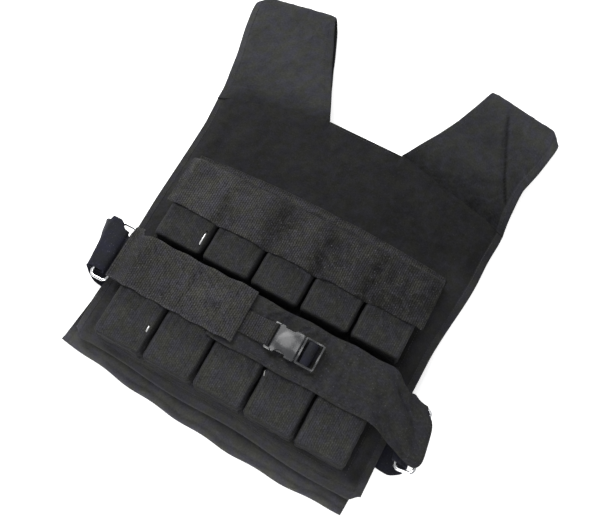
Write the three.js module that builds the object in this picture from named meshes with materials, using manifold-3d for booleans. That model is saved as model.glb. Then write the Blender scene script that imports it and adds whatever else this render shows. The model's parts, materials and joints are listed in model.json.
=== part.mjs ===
import * as THREE from 'three';
import { mergeVertices } from 'three/addons/utils/BufferGeometryUtils.js';
import Module from 'manifold-3d';

const wasm = await Module();
wasm.setup();

// A weighted vest lying on its back, front up. Millimetres.
// +X is the viewer's right, +Y runs from the hem to the shoulders, +Z is up from the floor.
// Lengths in y are counted from a line across the belly, between the two rows of pockets and the chest.

// Body outline: the margins lie round the rows of pockets
const BODY_SIDE_MARGIN = 30;
const FRONT_HEM_LEFT_MARGIN = 13;
const FRONT_HEM_RIGHT_MARGIN = 27;
const FRONT_HEM_WAVE = 1.6;
const FRONT_HEM_CORNER = 9;
const BACK_HEM_LEFT_MARGIN = 26;
const BACK_HEM_RIGHT_MARGIN = 43;
const BACK_HEM_WAVE = 1.3;
const BACK_HEM_DIP = 2;
const BACK_HEM_SHIFT_X = -11;
const BACK_LEAN_START_Y = -60;
const NECKLINE_Y = 192;
const NECK_HALF_WIDTH = 50;
const SEAM_OUTER_Y = 155;
const SHOULDER_Y = 329;
const SHOULDER_INNER_X = 114;
const SHOULDER_SLOPE = 0.17;
const SHOULDER_CORNER = 14;
const STRAP_BACK_SHIFT_X = 5;

// Outer side of body and strap: rise is a share of the shoulder's height, reach of the body's half width
const SIDE_TABLE = [
  { rise: -0.7, reach: 1.0 },
  { rise: -0.425, reach: 0.992 },
  { rise: -0.18, reach: 1.0 },
  { rise: 0, reach: 1.006 },
  { rise: 0.243, reach: 1.0 },
  { rise: 0.359, reach: 1.0 },
  { rise: 0.471, reach: 1.018 },
  { rise: 0.578, reach: 1.034 },
  { rise: 0.669, reach: 1.06 },
  { rise: 0.79, reach: 1.115 },
  { rise: 0.88, reach: 1.145 },
  { rise: 1.02, reach: 1.15 },
];

// Neck side of the strap: rise from neckline to shoulder, reach from the neck's half width to the shoulder's
const NECK_TABLE = [
  { rise: -0.05, reach: -0.07 },
  { rise: 0, reach: 0 },
  { rise: 0.168, reach: 0.2 },
  { rise: 0.358, reach: 0.44 },
  { rise: 0.555, reach: 0.65 },
  { rise: 0.774, reach: 0.83 },
  { rise: 1.04, reach: 1.03 },
];

// Layers, from the floor up
const BACK_THICK = 8;
const HOLLOW = 12;
const FRONT_THICK = 7.6;
const PANEL_EDGE_THICK = 4.4;
const PANEL_EDGE_BAND = 26;
const PANEL_FADE = 8;
const PANEL_RIPPLE = 0.5;
const BACK_SQUEEZE = 1.2;
const FRONT_EDGE_SAG = 5.5;
const STRAP_THICK = 7;
const STRAP_EDGE_THIN = 0.62;
const STRAP_EDGE_BAND = 0.28;
const STRAP_CORNER_BAND = 0.14;
const STRAP_SEAM_RISE = 0.4;
const STRAP_SEAM_BLEND = 0.2;
const STRAP_SEAM_LENGTH = 40;
const SEAM_GAP = 0.3;
const PIECE_GAP = 0.35;

// Low ripples of the panels' cloth: across and along are radians of the wave for one body half width
const RIPPLES = [
  { across: 8.2, along: 4.0, phase: 0.6 },
  { across: -4.9, along: 10.8, phase: 1.9 },
];

// Shares of a strap's length that lie in front and in the fold over the shoulder
const STRAP_FRONT_SHARE = 0.36;
const STRAP_FOLD_SHARE = 0.28;

// Weights, and the pouches that fit them
const WEIGHT_WIDTH = 50;
const WEIGHT_LENGTH = 97;
const WEIGHT_THICK = 23.6;
const WEIGHT_CORNER = 4;
const WEIGHT_CHAMFER = 2.4;
const WEIGHT_PLAY = 1.2;
const WEIGHT_HEADROOM = 1.6;
const POCKET_COUNT = 5;
const POCKET_WALL = 1.8;
const POCKET_SPLAY = 3;
const POCKET_BASE_FLARE = 3.2;
const POCKET_SPACING = 1.6;
const POCKET_ROUND_SHARE = 2.5;
const POCKET_DOME = 0.8;
const POCKET_ROW_GAP = 28;
const UPPER_FACE_BOTTOM_Y = -46;
const SLIT_WIDTH = 4.4;
const SLIT_DEPTH = 5;
const UPPER_SLIT_UP = 19;
const UPPER_SLIT_LENGTH = 19;
const LOWER_SLIT_UP = 29;
const LOWER_SLIT_LENGTH = 11;

// Pouch wall outside, from its rim up: rise is a share of the pocket's height, splay of the way from face
// to base, inset and drop of the edge round
const POUCH_OUTSIDE = [
  { rise: 0, splay: 1, inset: 0, drop: 0 },
  { rise: 0.35, splay: 0.45, inset: 0, drop: 0 },
  { rise: 1, splay: 0.1, inset: 0, drop: 1 },
  { rise: 1, splay: 0, inset: 0.3, drop: 0.3 },
  { rise: 1, splay: 0, inset: 1.1, drop: 0 },
];

// Flap band over the tops of the upper pockets
const FLAP_OVERHANG = 7;
const FLAP_ABOVE_POCKETS = 17;
const FLAP_TOP_BOW = 9;
const POCKET_SHOWN_BELOW_FLAP = 42;
const FLAP_THICK = 2;
const FLAP_LIFT = 0.9;
const FLAP_STITCH_BAND = 12;
const FLAP_RUFFLE = 0.35;
const FLAP_VALLEY = 3.2;
const FLAP_END_DROP = 7;

// Waist belt
const BELT_THICK = 2.2;
const BELT_LEFT_BELOW_ROW = 7;
const BELT_LEFT_WIDTH = 65;
const BELT_LEFT_END_X = -13;
const BELT_RIGHT_BELOW_ROW = 10;
const BELT_RIGHT_WIDTH = 67;
const BELT_OVERLAP_PAST_WEBBING = 10;
const BELT_VALLEY = 1.3;
const BELT_SHOULDER = 7;
const BELT_CRUMPLE = 1.6;
const BACK_BELT_THICK = 2.4;
const BACK_BELT_LEFT_DOWN = 1;
const BACK_BELT_RIGHT_DOWN = 40.5;
const BACK_BELT_MARGIN = 18;
const BACK_LOOP_LEFT_REACH = 21;
const BACK_LOOP_RIGHT_REACH = 9;
const BACK_LOOP_SHEAR = 0.2;

// Drop of a belt end from the last block to its ring: along is the way out, down the way to the ring
const BELT_DROP = [
  { along: 0.06, down: 0.015 },
  { along: 0.2, down: 0.12 },
  { along: 0.36, down: 0.32 },
  { along: 0.53, down: 0.56 },
  { along: 0.68, down: 0.78 },
  { along: 0.81, down: 0.95 },
];

// Back belt's loop at each side: out is a share of the loop's reach past the ring, up of the way to the ring
const LOOP_LEFT = [
  { out: 0.48, up: 0.97 },
  { out: 0.81, up: 0.8 },
  { out: 1.0, up: 0.57 },
  { out: 0.86, up: 0.3 },
  { out: 0.43, up: 0.09 },
  { out: -0.1, up: 0 },
];
const LOOP_RIGHT = [
  { out: -0.44, up: 0 },
  { out: 0.33, up: 0.08 },
  { out: 0.94, up: 0.33 },
  { out: 1.0, up: 0.58 },
];

// Folded ends of the bands past their bars: out and down are shares of the radius that the band is wound at
const BELT_TAIL_LEFT = [
  { out: 1.4, down: 1.15 },
  { out: 2.8, down: 0.95 },
];
const BELT_TAIL_RIGHT = [
  { out: -1.2, down: 1.1 },
  { out: -2.4, down: 1.1 },
];
const BACK_TAIL_LEFT = [
  { out: -3.5, down: 1.15 },
  { out: -1.6, down: 1.08 },
];
const BACK_TAIL_RIGHT = [
  { out: 0.35, down: 1.4 },
];

// Metal rings, one at each side, placed from the body's side, the belt's middle and the belt's underside.
// The tilt is about the body's length, the turn about the upright.
const RING_WIRE = 4;
const RING_WIDTH = 26;
const RING_LENGTH = 76;
const RING_CORNER = 6;
const RING_LEFT_OUT = 1;
const RING_LEFT_DOWN = 0.5;
const RING_LEFT_UNDER_BELT = 18;
const RING_LEFT_TILT_DEG = -8;
const RING_RIGHT_OUT = 21;
const RING_RIGHT_DOWN = 22.5;
const RING_RIGHT_UNDER_BELT = 27;
const RING_RIGHT_TILT_DEG = -10;
const RING_RIGHT_TURN_DEG = 9;
const RING_CLEARANCE = 0.5;

// Side-release buckle: x is the way along the belt, from the bar of the socket half
const BUCKLE_BAR_X = 21.5;
const BUCKLE_THICK = 8.6;
const BUCKLE_BAR = 3.2;
const BUCKLE_BAR_HALF_HEIGHT = 1.7;
const BUCKLE_BODY_LENGTH = 31;
const BUCKLE_WALL = 2.2;
const BUCKLE_ROUND = 3;
const BUCKLE_CHAMFER = 1.3;
const BUCKLE_NOTCH = 5.2;
const BUCKLE_NOTCH_STRETCH = 1.35;
const BUCKLE_NOTCH_PLACE = 0.42;
const BUCKLE_FRAME_INSET = 1.2;
const BUCKLE_FRAME_RIM = 3;
const BUCKLE_FRAME_BAR = 3.6;
const BUCKLE_FRAME_END_RIM = 2.2;
const BUCKLE_FRONT_SLOT_PLAY = 3.1;
const BUCKLE_REAR_SLOT_PLAY = 5.1;
const PRONG_WIDTH = 4.2;
const PRONG_GAP = 0.4;
const GUIDE_SHARE = 0.3;
const WEBBING_WIDTH = 27;
const WEBBING_SIDE_PLAY = 0.8;
const WEBBING_THICK = 1.6;
const WEBBING_TUCK = 21;

// Sizes and places that follow from the ones above
const pocketFaceWidth = WEIGHT_WIDTH + 2 * (POCKET_WALL + WEIGHT_PLAY);
const pocketFaceLength = WEIGHT_LENGTH + 2 * (POCKET_WALL + WEIGHT_PLAY);
const pocketHeight = WEIGHT_THICK + POCKET_WALL + WEIGHT_HEADROOM;
const pocketCorner = WEIGHT_CORNER + POCKET_WALL + WEIGHT_PLAY;
const pocketEdgeRound = POCKET_ROUND_SHARE * WEIGHT_CHAMFER;
const pocketBaseWidth = pocketFaceWidth + 2 * POCKET_BASE_FLARE;
const pocketPitch = pocketBaseWidth + POCKET_SPACING;
const rowEndX = POCKET_COUNT * pocketPitch / 2;
const bodyHalfWidth = rowEndX + BODY_SIDE_MARGIN;
const lowerFaceBottomY = UPPER_FACE_BOTTOM_Y - POCKET_ROW_GAP - pocketFaceLength;
const blockTopY = UPPER_FACE_BOTTOM_Y + pocketFaceLength + POCKET_SPLAY;
const flapTopY = blockTopY + FLAP_ABOVE_POCKETS;
const flapBottomY = UPPER_FACE_BOTTOM_Y + POCKET_SHOWN_BELOW_FLAP;
const flapHalfWidth = rowEndX + FLAP_OVERHANG;
const beltLeftTopY = UPPER_FACE_BOTTOM_Y - BELT_LEFT_BELOW_ROW;
const beltLeftBottomY = beltLeftTopY - BELT_LEFT_WIDTH;
const beltRightTopY = UPPER_FACE_BOTTOM_Y - BELT_RIGHT_BELOW_ROW;
const beltRightBottomY = beltRightTopY - BELT_RIGHT_WIDTH;
const beltLeftMidY = (beltLeftTopY + beltLeftBottomY) / 2;
const beltRightMidY = (beltRightTopY + beltRightBottomY) / 2;

const frontBottomZ = BACK_THICK + HOLLOW;
const frontTopZ = frontBottomZ + FRONT_THICK;
const pocketBaseZ = frontTopZ + SEAM_GAP;
const beltLowZ = pocketBaseZ + pocketHeight + POCKET_DOME + SEAM_GAP;

const ringHalfSpan = RING_LENGTH / 2 - RING_WIRE / 2 - RING_CORNER - RING_CLEARANCE;
const backBeltWidth = 2 * (ringHalfSpan - RING_CLEARANCE);
const leftRing = {
  name: 'ring_left',
  x: -bodyHalfWidth - RING_LEFT_OUT,
  y: beltLeftMidY - RING_LEFT_DOWN,
  z: beltLowZ - RING_LEFT_UNDER_BELT,
  tilt: RING_LEFT_TILT_DEG,
  turn: 0,
};
const rightRing = {
  name: 'ring_right',
  x: bodyHalfWidth + RING_RIGHT_OUT,
  y: beltRightMidY - RING_RIGHT_DOWN,
  z: beltLowZ - RING_RIGHT_UNDER_BELT,
  tilt: RING_RIGHT_TILT_DEG,
  turn: RING_RIGHT_TURN_DEG,
};

const QUARTER_TURN = Math.PI / 2;
const lerp = (a, b, t) => a + (b - a) * t;
const clamp01 = (t) => Math.min(1, Math.max(0, t));
const smooth = (t) => {
  const c = clamp01(t);
  return c * c * (3 - 2 * c);
};

function reachAt(table, rise) {
  let i = 1;
  while (i < table.length - 1 && rise > table[i].rise) i += 1;
  const span = table[i].rise - table[i - 1].rise;
  const t = clamp01((rise - table[i - 1].rise) / span);
  return lerp(table[i - 1].reach, table[i].reach, t);
}

const outerX = (y) => bodyHalfWidth * reachAt(SIDE_TABLE, y / SHOULDER_Y);
const neckX = (y) => {
  const rise = (y - NECKLINE_Y) / (SHOULDER_Y - NECKLINE_Y);
  return lerp(NECK_HALF_WIDTH, SHOULDER_INNER_X, reachAt(NECK_TABLE, rise));
};

// A closed surface from indexed points, turned the right way out by its own volume
function surfaceFrom(points, faces) {
  let volume = 0;
  for (const [a, b, c] of faces) {
    const p = points[a];
    const q = points[b];
    const r = points[c];
    volume += p[0] * (q[1] * r[2] - q[2] * r[1]);
    volume += p[1] * (q[2] * r[0] - q[0] * r[2]);
    volume += p[2] * (q[0] * r[1] - q[1] * r[0]);
  }
  const outward = volume < 0 ? faces.map(([a, b, c]) => [a, c, b]) : faces;
  const geometry = new THREE.BufferGeometry();
  geometry.setAttribute('position', new THREE.Float32BufferAttribute(points.flat(), 3));
  geometry.setIndex(outward.flat());
  return geometry;
}

// Booleans: a geometry goes in as a solid and comes back as a geometry
function solidOf(geometry) {
  const bare = geometry.clone();
  bare.deleteAttribute('normal');
  bare.deleteAttribute('uv');
  const merged = mergeVertices(bare, 1e-4);
  return new wasm.Manifold(new wasm.Mesh({
    numProp: 3,
    vertProperties: new Float32Array(merged.attributes.position.array),
    triVerts: new Uint32Array(merged.index.array),
  }));
}

function geometryOf(solid) {
  const mesh = solid.getMesh();
  const geometry = new THREE.BufferGeometry();
  geometry.setAttribute('position', new THREE.BufferAttribute(mesh.vertProperties, 3));
  geometry.setIndex(new THREE.BufferAttribute(mesh.triVerts, 1));
  return geometry;
}

// A thick sheet: two grids of points, one for each face, joined round the rim
function thickSheet(nu, nv, upperAt, lowerAt) {
  const points = [];
  const faces = [];
  const row = nu + 1;
  const lowerStart = row * (nv + 1);
  for (const at of [upperAt, lowerAt]) {
    for (let j = 0; j <= nv; j += 1) {
      for (let i = 0; i <= nu; i += 1) {
        points.push(at(i / nu, j / nv));
      }
    }
  }
  const upper = (i, j) => j * row + i;
  const lower = (i, j) => lowerStart + j * row + i;
  for (let j = 0; j < nv; j += 1) {
    for (let i = 0; i < nu; i += 1) {
      faces.push([upper(i, j), upper(i + 1, j), upper(i + 1, j + 1)]);
      faces.push([upper(i, j), upper(i + 1, j + 1), upper(i, j + 1)]);
      faces.push([lower(i, j), lower(i + 1, j + 1), lower(i + 1, j)]);
      faces.push([lower(i, j), lower(i, j + 1), lower(i + 1, j + 1)]);
    }
  }
  const rim = [];
  for (let i = 0; i < nu; i += 1) rim.push([i, 0]);
  for (let j = 0; j < nv; j += 1) rim.push([nu, j]);
  for (let i = nu; i > 0; i -= 1) rim.push([i, nv]);
  for (let j = nv; j > 0; j -= 1) rim.push([0, j]);
  rim.forEach((spot, k) => {
    const next = rim[(k + 1) % rim.length];
    const a = upper(spot[0], spot[1]);
    const b = upper(next[0], next[1]);
    const c = lower(next[0], next[1]);
    const d = lower(spot[0], spot[1]);
    faces.push([a, c, b]);
    faces.push([a, d, c]);
  });
  return surfaceFrom(points, faces);
}

// A strip of webbing: a line of (x, z) spots given thickness and carried across in y.
// edges gives its two borders, lift pushes it along the line's normal, shear moves it in x.
function webbingStrip({ line, thick, rows, edges, lift = () => 0, shear = () => 0 }) {
  const count = line.length - 1;
  const normals = line.map((p, i) => {
    const a = line[Math.max(0, i - 1)];
    const b = line[Math.min(count, i + 1)];
    const size = Math.hypot(b[0] - a[0], b[1] - a[1]);
    return [-(b[1] - a[1]) / size, (b[0] - a[0]) / size];
  });
  const face = (side) => (u, w) => {
    const i = Math.round(u * count);
    const [nearY, farY] = edges(line[i]);
    const y = lerp(nearY, farY, w);
    const off = side * thick / 2 + lift(line[i], w);
    const x = line[i][0] + normals[i][0] * off + shear(line[i], y);
    return [x, y, line[i][1] + normals[i][1] * off];
  };
  return thickSheet(count, rows, face(1), face(-1));
}

function arc(cx, cz, radius, fromDeg, toDeg, steps) {
  const list = [];
  for (let i = 0; i <= steps; i += 1) {
    const angle = lerp(fromDeg, toDeg, i / steps) * Math.PI / 180;
    list.push([cx + radius * Math.cos(angle), cz + radius * Math.sin(angle)]);
  }
  return list;
}

function straight(from, to, steps) {
  const list = [];
  for (let i = 0; i < steps; i += 1) {
    list.push([lerp(from[0], to[0], i / steps), lerp(from[1], to[1], i / steps)]);
  }
  return list;
}

// Panels
const ripple = (x, y) => RIPPLES.reduce((height, { across, along, phase }) => {
  return height * Math.sin((x * across + y * along) / bodyHalfWidth + phase);
}, PANEL_RIPPLE);

const inPocketZone = (x, y) => {
  const sideways = smooth((Math.abs(x) - rowEndX - POCKET_SPLAY) / PANEL_FADE);
  const up = smooth((y - blockTopY - POCKET_SPLAY) / PANEL_FADE);
  const down = smooth((lowerFaceBottomY - 2 * POCKET_SPLAY - y) / PANEL_FADE);
  return 1 - Math.max(sideways, up, down);
};

// Across a panel: -1 and 1 at its sides, and a column of its grid on each corner of the neckline
const neckShare = NECK_HALF_WIDTH / outerX(NECKLINE_Y);
const NECK_COLUMN_SHARE = 0.25;
const acrossAt = (s) => {
  const place = 2 * s - 1;
  const out = Math.abs(place);
  if (out <= NECK_COLUMN_SHARE) return neckShare * place / NECK_COLUMN_SHARE;
  const share = (out - NECK_COLUMN_SHARE) / (1 - NECK_COLUMN_SHARE);
  return Math.sign(place) * lerp(neckShare, 1, share);
};

const frontTopY = (across) => {
  const pastNeck = clamp01((Math.abs(across) - neckShare) / (1 - neckShare));
  return lerp(NECKLINE_Y, SEAM_OUTER_Y, pastNeck);
};

const HEM_CORNER_START = 0.93;
const frontHemY = (across) => {
  const level = lerp(FRONT_HEM_LEFT_MARGIN, FRONT_HEM_RIGHT_MARGIN, (across + 1) / 2);
  const wave = FRONT_HEM_WAVE * Math.sin(across * 7.1 + 0.4);
  const corner = FRONT_HEM_CORNER * smooth((Math.abs(across) - HEM_CORNER_START) / (1 - HEM_CORNER_START));
  return lowerFaceBottomY - level + wave + corner;
};

const BACK_HEM_SLOPE_SHARE = 0.65;
const backHemY = (across) => {
  const slope = smooth((across + 1) / 2 / BACK_HEM_SLOPE_SHARE);
  const level = lerp(BACK_HEM_LEFT_MARGIN, BACK_HEM_RIGHT_MARGIN, slope);
  const wave = BACK_HEM_WAVE * Math.sin(across * 5.3 + 1.2);
  const dip = BACK_HEM_DIP * Math.sin(Math.PI * (across + 1) / 2);
  return lowerFaceBottomY - level + wave - dip;
};

// How full the padding is: 0 at a border, 1 past the band where it thins
const fullness = (x, y, hemY) => smooth(Math.min(outerX(y) - Math.abs(x), y - hemY) / PANEL_EDGE_BAND);
const neckFullness = (across, y) => {
  const underNeck = Math.abs(across) <= neckShare * 1.001;
  return underNeck ? smooth((NECKLINE_Y - y) / PANEL_EDGE_BAND) : 1;
};

function frontPanelAt(upperFace) {
  return (s, t) => {
    const across = acrossAt(s);
    const hemY = frontHemY(across);
    const y = lerp(hemY, frontTopY(across) - SEAM_GAP / 2, t);
    const x = across * outerX(y);
    const share = fullness(x, y, hemY);
    const full = Math.min(share, neckFullness(across, y));
    const bottom = frontBottomZ - FRONT_EDGE_SAG * (1 - share);
    const thick = lerp(PANEL_EDGE_THICK, FRONT_THICK, full);
    const loose = 1 - inPocketZone(x, y);
    return [x, y, upperFace ? bottom + thick + ripple(x, y) * loose * full : bottom];
  };
}

// The back belt lies under the back panel, which rides over it
const backBeltMidY = (x) => {
  const share = (x - leftRing.x) / (rightRing.x - leftRing.x);
  return lerp(beltLeftMidY - BACK_BELT_LEFT_DOWN, beltRightMidY - BACK_BELT_RIGHT_DOWN, share);
};
const overBackBelt = (x, y) => {
  const away = Math.abs(y - backBeltMidY(x)) - backBeltWidth / 2;
  return 1 - smooth((away - BACK_BELT_MARGIN) / BACK_BELT_MARGIN);
};

function backPanelAt(upperFace) {
  return (s, t) => {
    const across = acrossAt(s);
    const hemY = backHemY(across);
    const y = lerp(hemY, frontTopY(across) - SEAM_GAP / 2, t);
    const straightX = across * outerX(y);
    const leanShare = clamp01((BACK_LEAN_START_Y - y) / (BACK_LEAN_START_Y - hemY));
    const x = straightX + BACK_HEM_SHIFT_X * leanShare;
    const full = Math.min(fullness(straightX, y, hemY), neckFullness(across, y));
    const thick = lerp(PANEL_EDGE_THICK, BACK_THICK, full);
    const lift = (BACK_BELT_THICK + PIECE_GAP) * overBackBelt(x, y);
    return [x, y, upperFace ? Math.max(thick, lift + thick - BACK_SQUEEZE) : lift];
  };
}

// Shoulder straps: one padded band from the front seam, round the shoulder, to the back seam
function strapAt(sign, upperFace) {
  const frontMid = frontBottomZ + FRONT_THICK / 2;
  const backMid = BACK_THICK / 2;
  const foldRadius = (frontMid - backMid) / 2;
  const foldZ = (frontMid + backMid) / 2;
  const side = upperFace ? 1 : -1;
  return (s, t) => {
    const across = lerp(neckShare, 1, s);
    const seamY = frontTopY(across) + SEAM_GAP / 2;
    const thinned = smooth((Math.abs(2 * s - 1) - 1 + STRAP_EDGE_BAND) / STRAP_EDGE_BAND);
    const half = STRAP_THICK / 2 * lerp(1, STRAP_EDGE_THIN, thinned);
    const topX = lerp(SHOULDER_INNER_X, outerX(SHOULDER_Y), s);
    const corner = SHOULDER_CORNER * smooth((s - 1 + STRAP_CORNER_BAND) / STRAP_CORNER_BAND);
    const topY = SHOULDER_Y - SHOULDER_SLOPE * (topX - SHOULDER_INNER_X) - corner;
    const centreY = topY - foldRadius - STRAP_THICK / 2;
    const foldEnd = STRAP_FRONT_SHARE + STRAP_FOLD_SHARE;
    let y;
    let z;
    let backward = 0;
    if (t <= STRAP_FRONT_SHARE) {
      const share = t / STRAP_FRONT_SHARE;
      const seamHalf = Math.min(FRONT_THICK / 2, half + STRAP_SEAM_RISE);
      y = lerp(seamY, centreY, share);
      z = frontMid + side * lerp(seamHalf, half, smooth(share / STRAP_SEAM_BLEND));
    } else if (t <= foldEnd) {
      const turn = Math.PI * (t - STRAP_FRONT_SHARE) / STRAP_FOLD_SHARE;
      const radius = foldRadius + side * half;
      y = centreY + radius * Math.sin(turn);
      z = foldZ + radius * Math.cos(turn);
      backward = (1 - Math.cos(turn)) / 2;
    } else {
      const share = (t - foldEnd) / (1 - foldEnd);
      y = lerp(centreY, seamY, share);
      z = backMid - side * half;
      backward = 1 - smooth(share);
    }
    const seamX = across * outerX(seamY);
    const freeX = lerp(neckX(y), outerX(y), s);
    const x = lerp(seamX, freeX, smooth((y - seamY) / STRAP_SEAM_LENGTH));
    const sideways = sign < 0 ? STRAP_BACK_SHIFT_X * backward : 0;
    return [sign * x + sideways, y, z];
  };
}

// Pockets: a thin-walled pouch with rounded corners, open towards the panel.
// Its own origin is the middle of the rim's plane, at the lower edge of its face.
function pouchRing(halfX, lowY, highY, radius, z) {
  const ring = [];
  const corners = [
    [halfX - radius, highY - radius],
    [-halfX + radius, highY - radius],
    [-halfX + radius, lowY + radius],
    [halfX - radius, lowY + radius],
  ];
  corners.forEach(([cx, cy], corner) => {
    for (const share of [0, 0.5, 1]) {
      const angle = (corner + share) * QUARTER_TURN;
      ring.push([cx + radius * Math.cos(angle), cy + radius * Math.sin(angle), z]);
    }
  });
  return ring;
}

function pouch() {
  const rings = [];
  const addRing = (row, wall) => {
    const inward = row.inset * pocketEdgeRound + wall;
    const splay = POCKET_SPLAY * row.splay;
    const halfX = lerp(pocketFaceWidth, pocketBaseWidth, row.splay) / 2 - inward;
    const top = pocketHeight - (row.rise === 1 ? wall : 0);
    const radius = Math.max(POCKET_WALL, pocketCorner - inward);
    const z = row.rise * top - row.drop * pocketEdgeRound;
    rings.push(pouchRing(halfX, inward - splay, pocketFaceLength + splay - inward, radius, z));
  };
  POUCH_OUTSIDE.forEach((row) => addRing(row, 0));
  [...POUCH_OUTSIDE].reverse().forEach((row) => addRing(row, POCKET_WALL));
  const size = rings[0].length;
  const outerCount = POUCH_OUTSIDE.length;
  const points = rings.flat();
  const faces = [];
  const capTop = points.length;
  points.push([0, pocketFaceLength / 2, pocketHeight + POCKET_DOME]);
  points.push([0, pocketFaceLength / 2, pocketHeight + POCKET_DOME - POCKET_WALL]);
  for (let k = 0; k < size; k += 1) {
    const n = (k + 1) % size;
    for (let r = 0; r < rings.length; r += 1) {
      if (r === outerCount - 1) {
        faces.push([r * size + k, r * size + n, capTop]);
        faces.push([(r + 1) * size + n, (r + 1) * size + k, capTop + 1]);
      } else {
        const next = (r + 1) % rings.length;
        faces.push([r * size + k, r * size + n, next * size + n]);
        faces.push([r * size + k, next * size + n, next * size + k]);
      }
    }
  }
  return surfaceFrom(points, faces);
}

const block = (x0, x1, y0, y1, z0, z1) => {
  const shape = new THREE.BoxGeometry(x1 - x0, y1 - y0, z1 - z0);
  return shape.translate((x0 + x1) / 2, (y0 + y1) / 2, (z0 + z1) / 2);
};

// A slab with rounded corners in plan and a chamfer above and below, centred on y
function slab(x0, x1, width, z0, z1, round, chamfer, curveSegments = 3) {
  const hx = (x1 - x0) / 2;
  const hy = width / 2;
  const outline = new THREE.Shape();
  outline.moveTo(hx - round, -hy);
  outline.absarc(hx - round, -hy + round, round, -Math.PI / 2, 0);
  outline.absarc(hx - round, hy - round, round, 0, Math.PI / 2);
  outline.absarc(-hx + round, hy - round, round, Math.PI / 2, Math.PI);
  outline.absarc(-hx + round, -hy + round, round, Math.PI, Math.PI * 1.5);
  const shape = new THREE.ExtrudeGeometry(outline, {
    depth: z1 - z0 - 2 * chamfer,
    curveSegments,
    bevelEnabled: true,
    bevelSegments: 1,
    bevelThickness: chamfer,
    bevelSize: chamfer,
    bevelOffset: -chamfer,
  });
  return shape.translate((x0 + x1) / 2, 0, z0 + chamfer);
}

// A worn slit at the first pocket's edge, where the bare weight shows
function slitPouch(slitUp, slitLength) {
  const edgeX = WEIGHT_WIDTH / 2;
  const top = pocketHeight;
  const slit = block(
    edgeX - SLIT_WIDTH / 2,
    edgeX + SLIT_WIDTH / 2,
    slitUp - slitLength / 2,
    slitUp + slitLength / 2,
    top - SLIT_DEPTH,
    top + SLIT_DEPTH,
  );
  return geometryOf(solidOf(pouch()).subtract(solidOf(slit)));
}

const pocketX = (index) => (index - (POCKET_COUNT - 1) / 2) * pocketPitch;

// How far a band sinks between the blocks: 0 over a block, 1 over a gap
const GAP_REACH = 0.14;
const betweenBlocks = (x) => {
  if (Math.abs(x) > rowEndX - pocketPitch / 2) return 0;
  const turns = x / pocketPitch + POCKET_COUNT / 2;
  const away = Math.abs(turns - Math.round(turns));
  return 1 - smooth(away / GAP_REACH);
};

// Flap band: sewn flat on the chest, climbs the ends of the blocks and lies over their faces
const FLAP_SEWN_ROWS = 3;
const flapLine = (() => {
  const low = frontTopZ + FLAP_LIFT + FLAP_THICK / 2;
  const high = beltLowZ + FLAP_THICK / 2;
  const climb = high - low;
  const round = pocketEdgeRound;
  return [
    [flapTopY, low],
    [flapTopY - FLAP_STITCH_BAND / 2, low + FLAP_RUFFLE],
    [flapTopY - FLAP_STITCH_BAND, low],
    [blockTopY + FLAP_THICK * 1.5, low + climb * 0.18],
    [blockTopY + FLAP_THICK, low + climb * 0.5],
    [blockTopY, high - round],
    [blockTopY - round * 0.5, high - round * 0.3],
    [blockTopY - round * 1.5, high],
    [lerp(blockTopY, flapBottomY, 0.4), high + FLAP_RUFFLE],
    [lerp(blockTopY, flapBottomY, 0.7), high + FLAP_RUFFLE],
    [flapBottomY, high],
  ];
})();

function flapAt(upperFace) {
  const side = upperFace ? 1 : -1;
  const count = flapLine.length - 1;
  const bowAt = (x) => FLAP_TOP_BOW * (0.4 - (x / flapHalfWidth) ** 2);
  return (u, v) => {
    const i = Math.round(v * count);
    const [lineY, lineZ] = flapLine[i];
    const a = flapLine[Math.max(0, i - 1)];
    const b = flapLine[Math.min(count, i + 1)];
    const size = Math.hypot(b[0] - a[0], b[1] - a[1]);
    const x = lerp(-flapHalfWidth, flapHalfWidth, u);
    const sewn = i < FLAP_SEWN_ROWS;
    const climbed = smooth((lineZ - frontTopZ) / pocketHeight);
    const pastEnd = smooth((Math.abs(x) - rowEndX + FLAP_OVERHANG) / (2 * FLAP_OVERHANG));
    const sink = FLAP_VALLEY * betweenBlocks(x) * (climbed > 0.95 ? 1 : 0);
    const drop = FLAP_END_DROP * pastEnd * climbed;
    const bow = sewn ? bowAt(x) : 0;
    const off = side * FLAP_THICK / 2;
    const y = lineY + off * (b[1] - a[1]) / size + bow;
    return [x, y, lineZ - off * (b[0] - a[0]) / size - sink - drop];
  };
}

// Rings: a round wire bent to a long rectangle, flat on its own x and y
function wireRing() {
  const hx = (RING_WIDTH - RING_WIRE) / 2 - RING_CORNER;
  const hy = (RING_LENGTH - RING_WIRE) / 2 - RING_CORNER;
  const corners = [[hx, hy], [-hx, hy], [-hx, -hy], [hx, -hy]];
  const cornerSteps = 3;
  const sides = 8;
  const points = [];
  const faces = [];
  corners.forEach(([cx, cy], corner) => {
    for (let k = 0; k <= cornerSteps; k += 1) {
      const out = (corner + k / cornerSteps) * QUARTER_TURN;
      for (let m = 0; m < sides; m += 1) {
        const turn = 2 * Math.PI * m / sides;
        const reach = RING_CORNER + RING_WIRE / 2 * Math.cos(turn);
        const height = RING_WIRE / 2 * Math.sin(turn);
        points.push([cx + Math.cos(out) * reach, cy + Math.sin(out) * reach, height]);
      }
    }
  });
  const total = points.length / sides;
  for (let i = 0; i < total; i += 1) {
    const next = (i + 1) % total;
    for (let k = 0; k < sides; k += 1) {
      const m = (k + 1) % sides;
      faces.push([i * sides + k, next * sides + k, next * sides + m]);
      faces.push([i * sides + k, next * sides + m, i * sides + m]);
    }
  }
  return surfaceFrom(points, faces);
}

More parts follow.
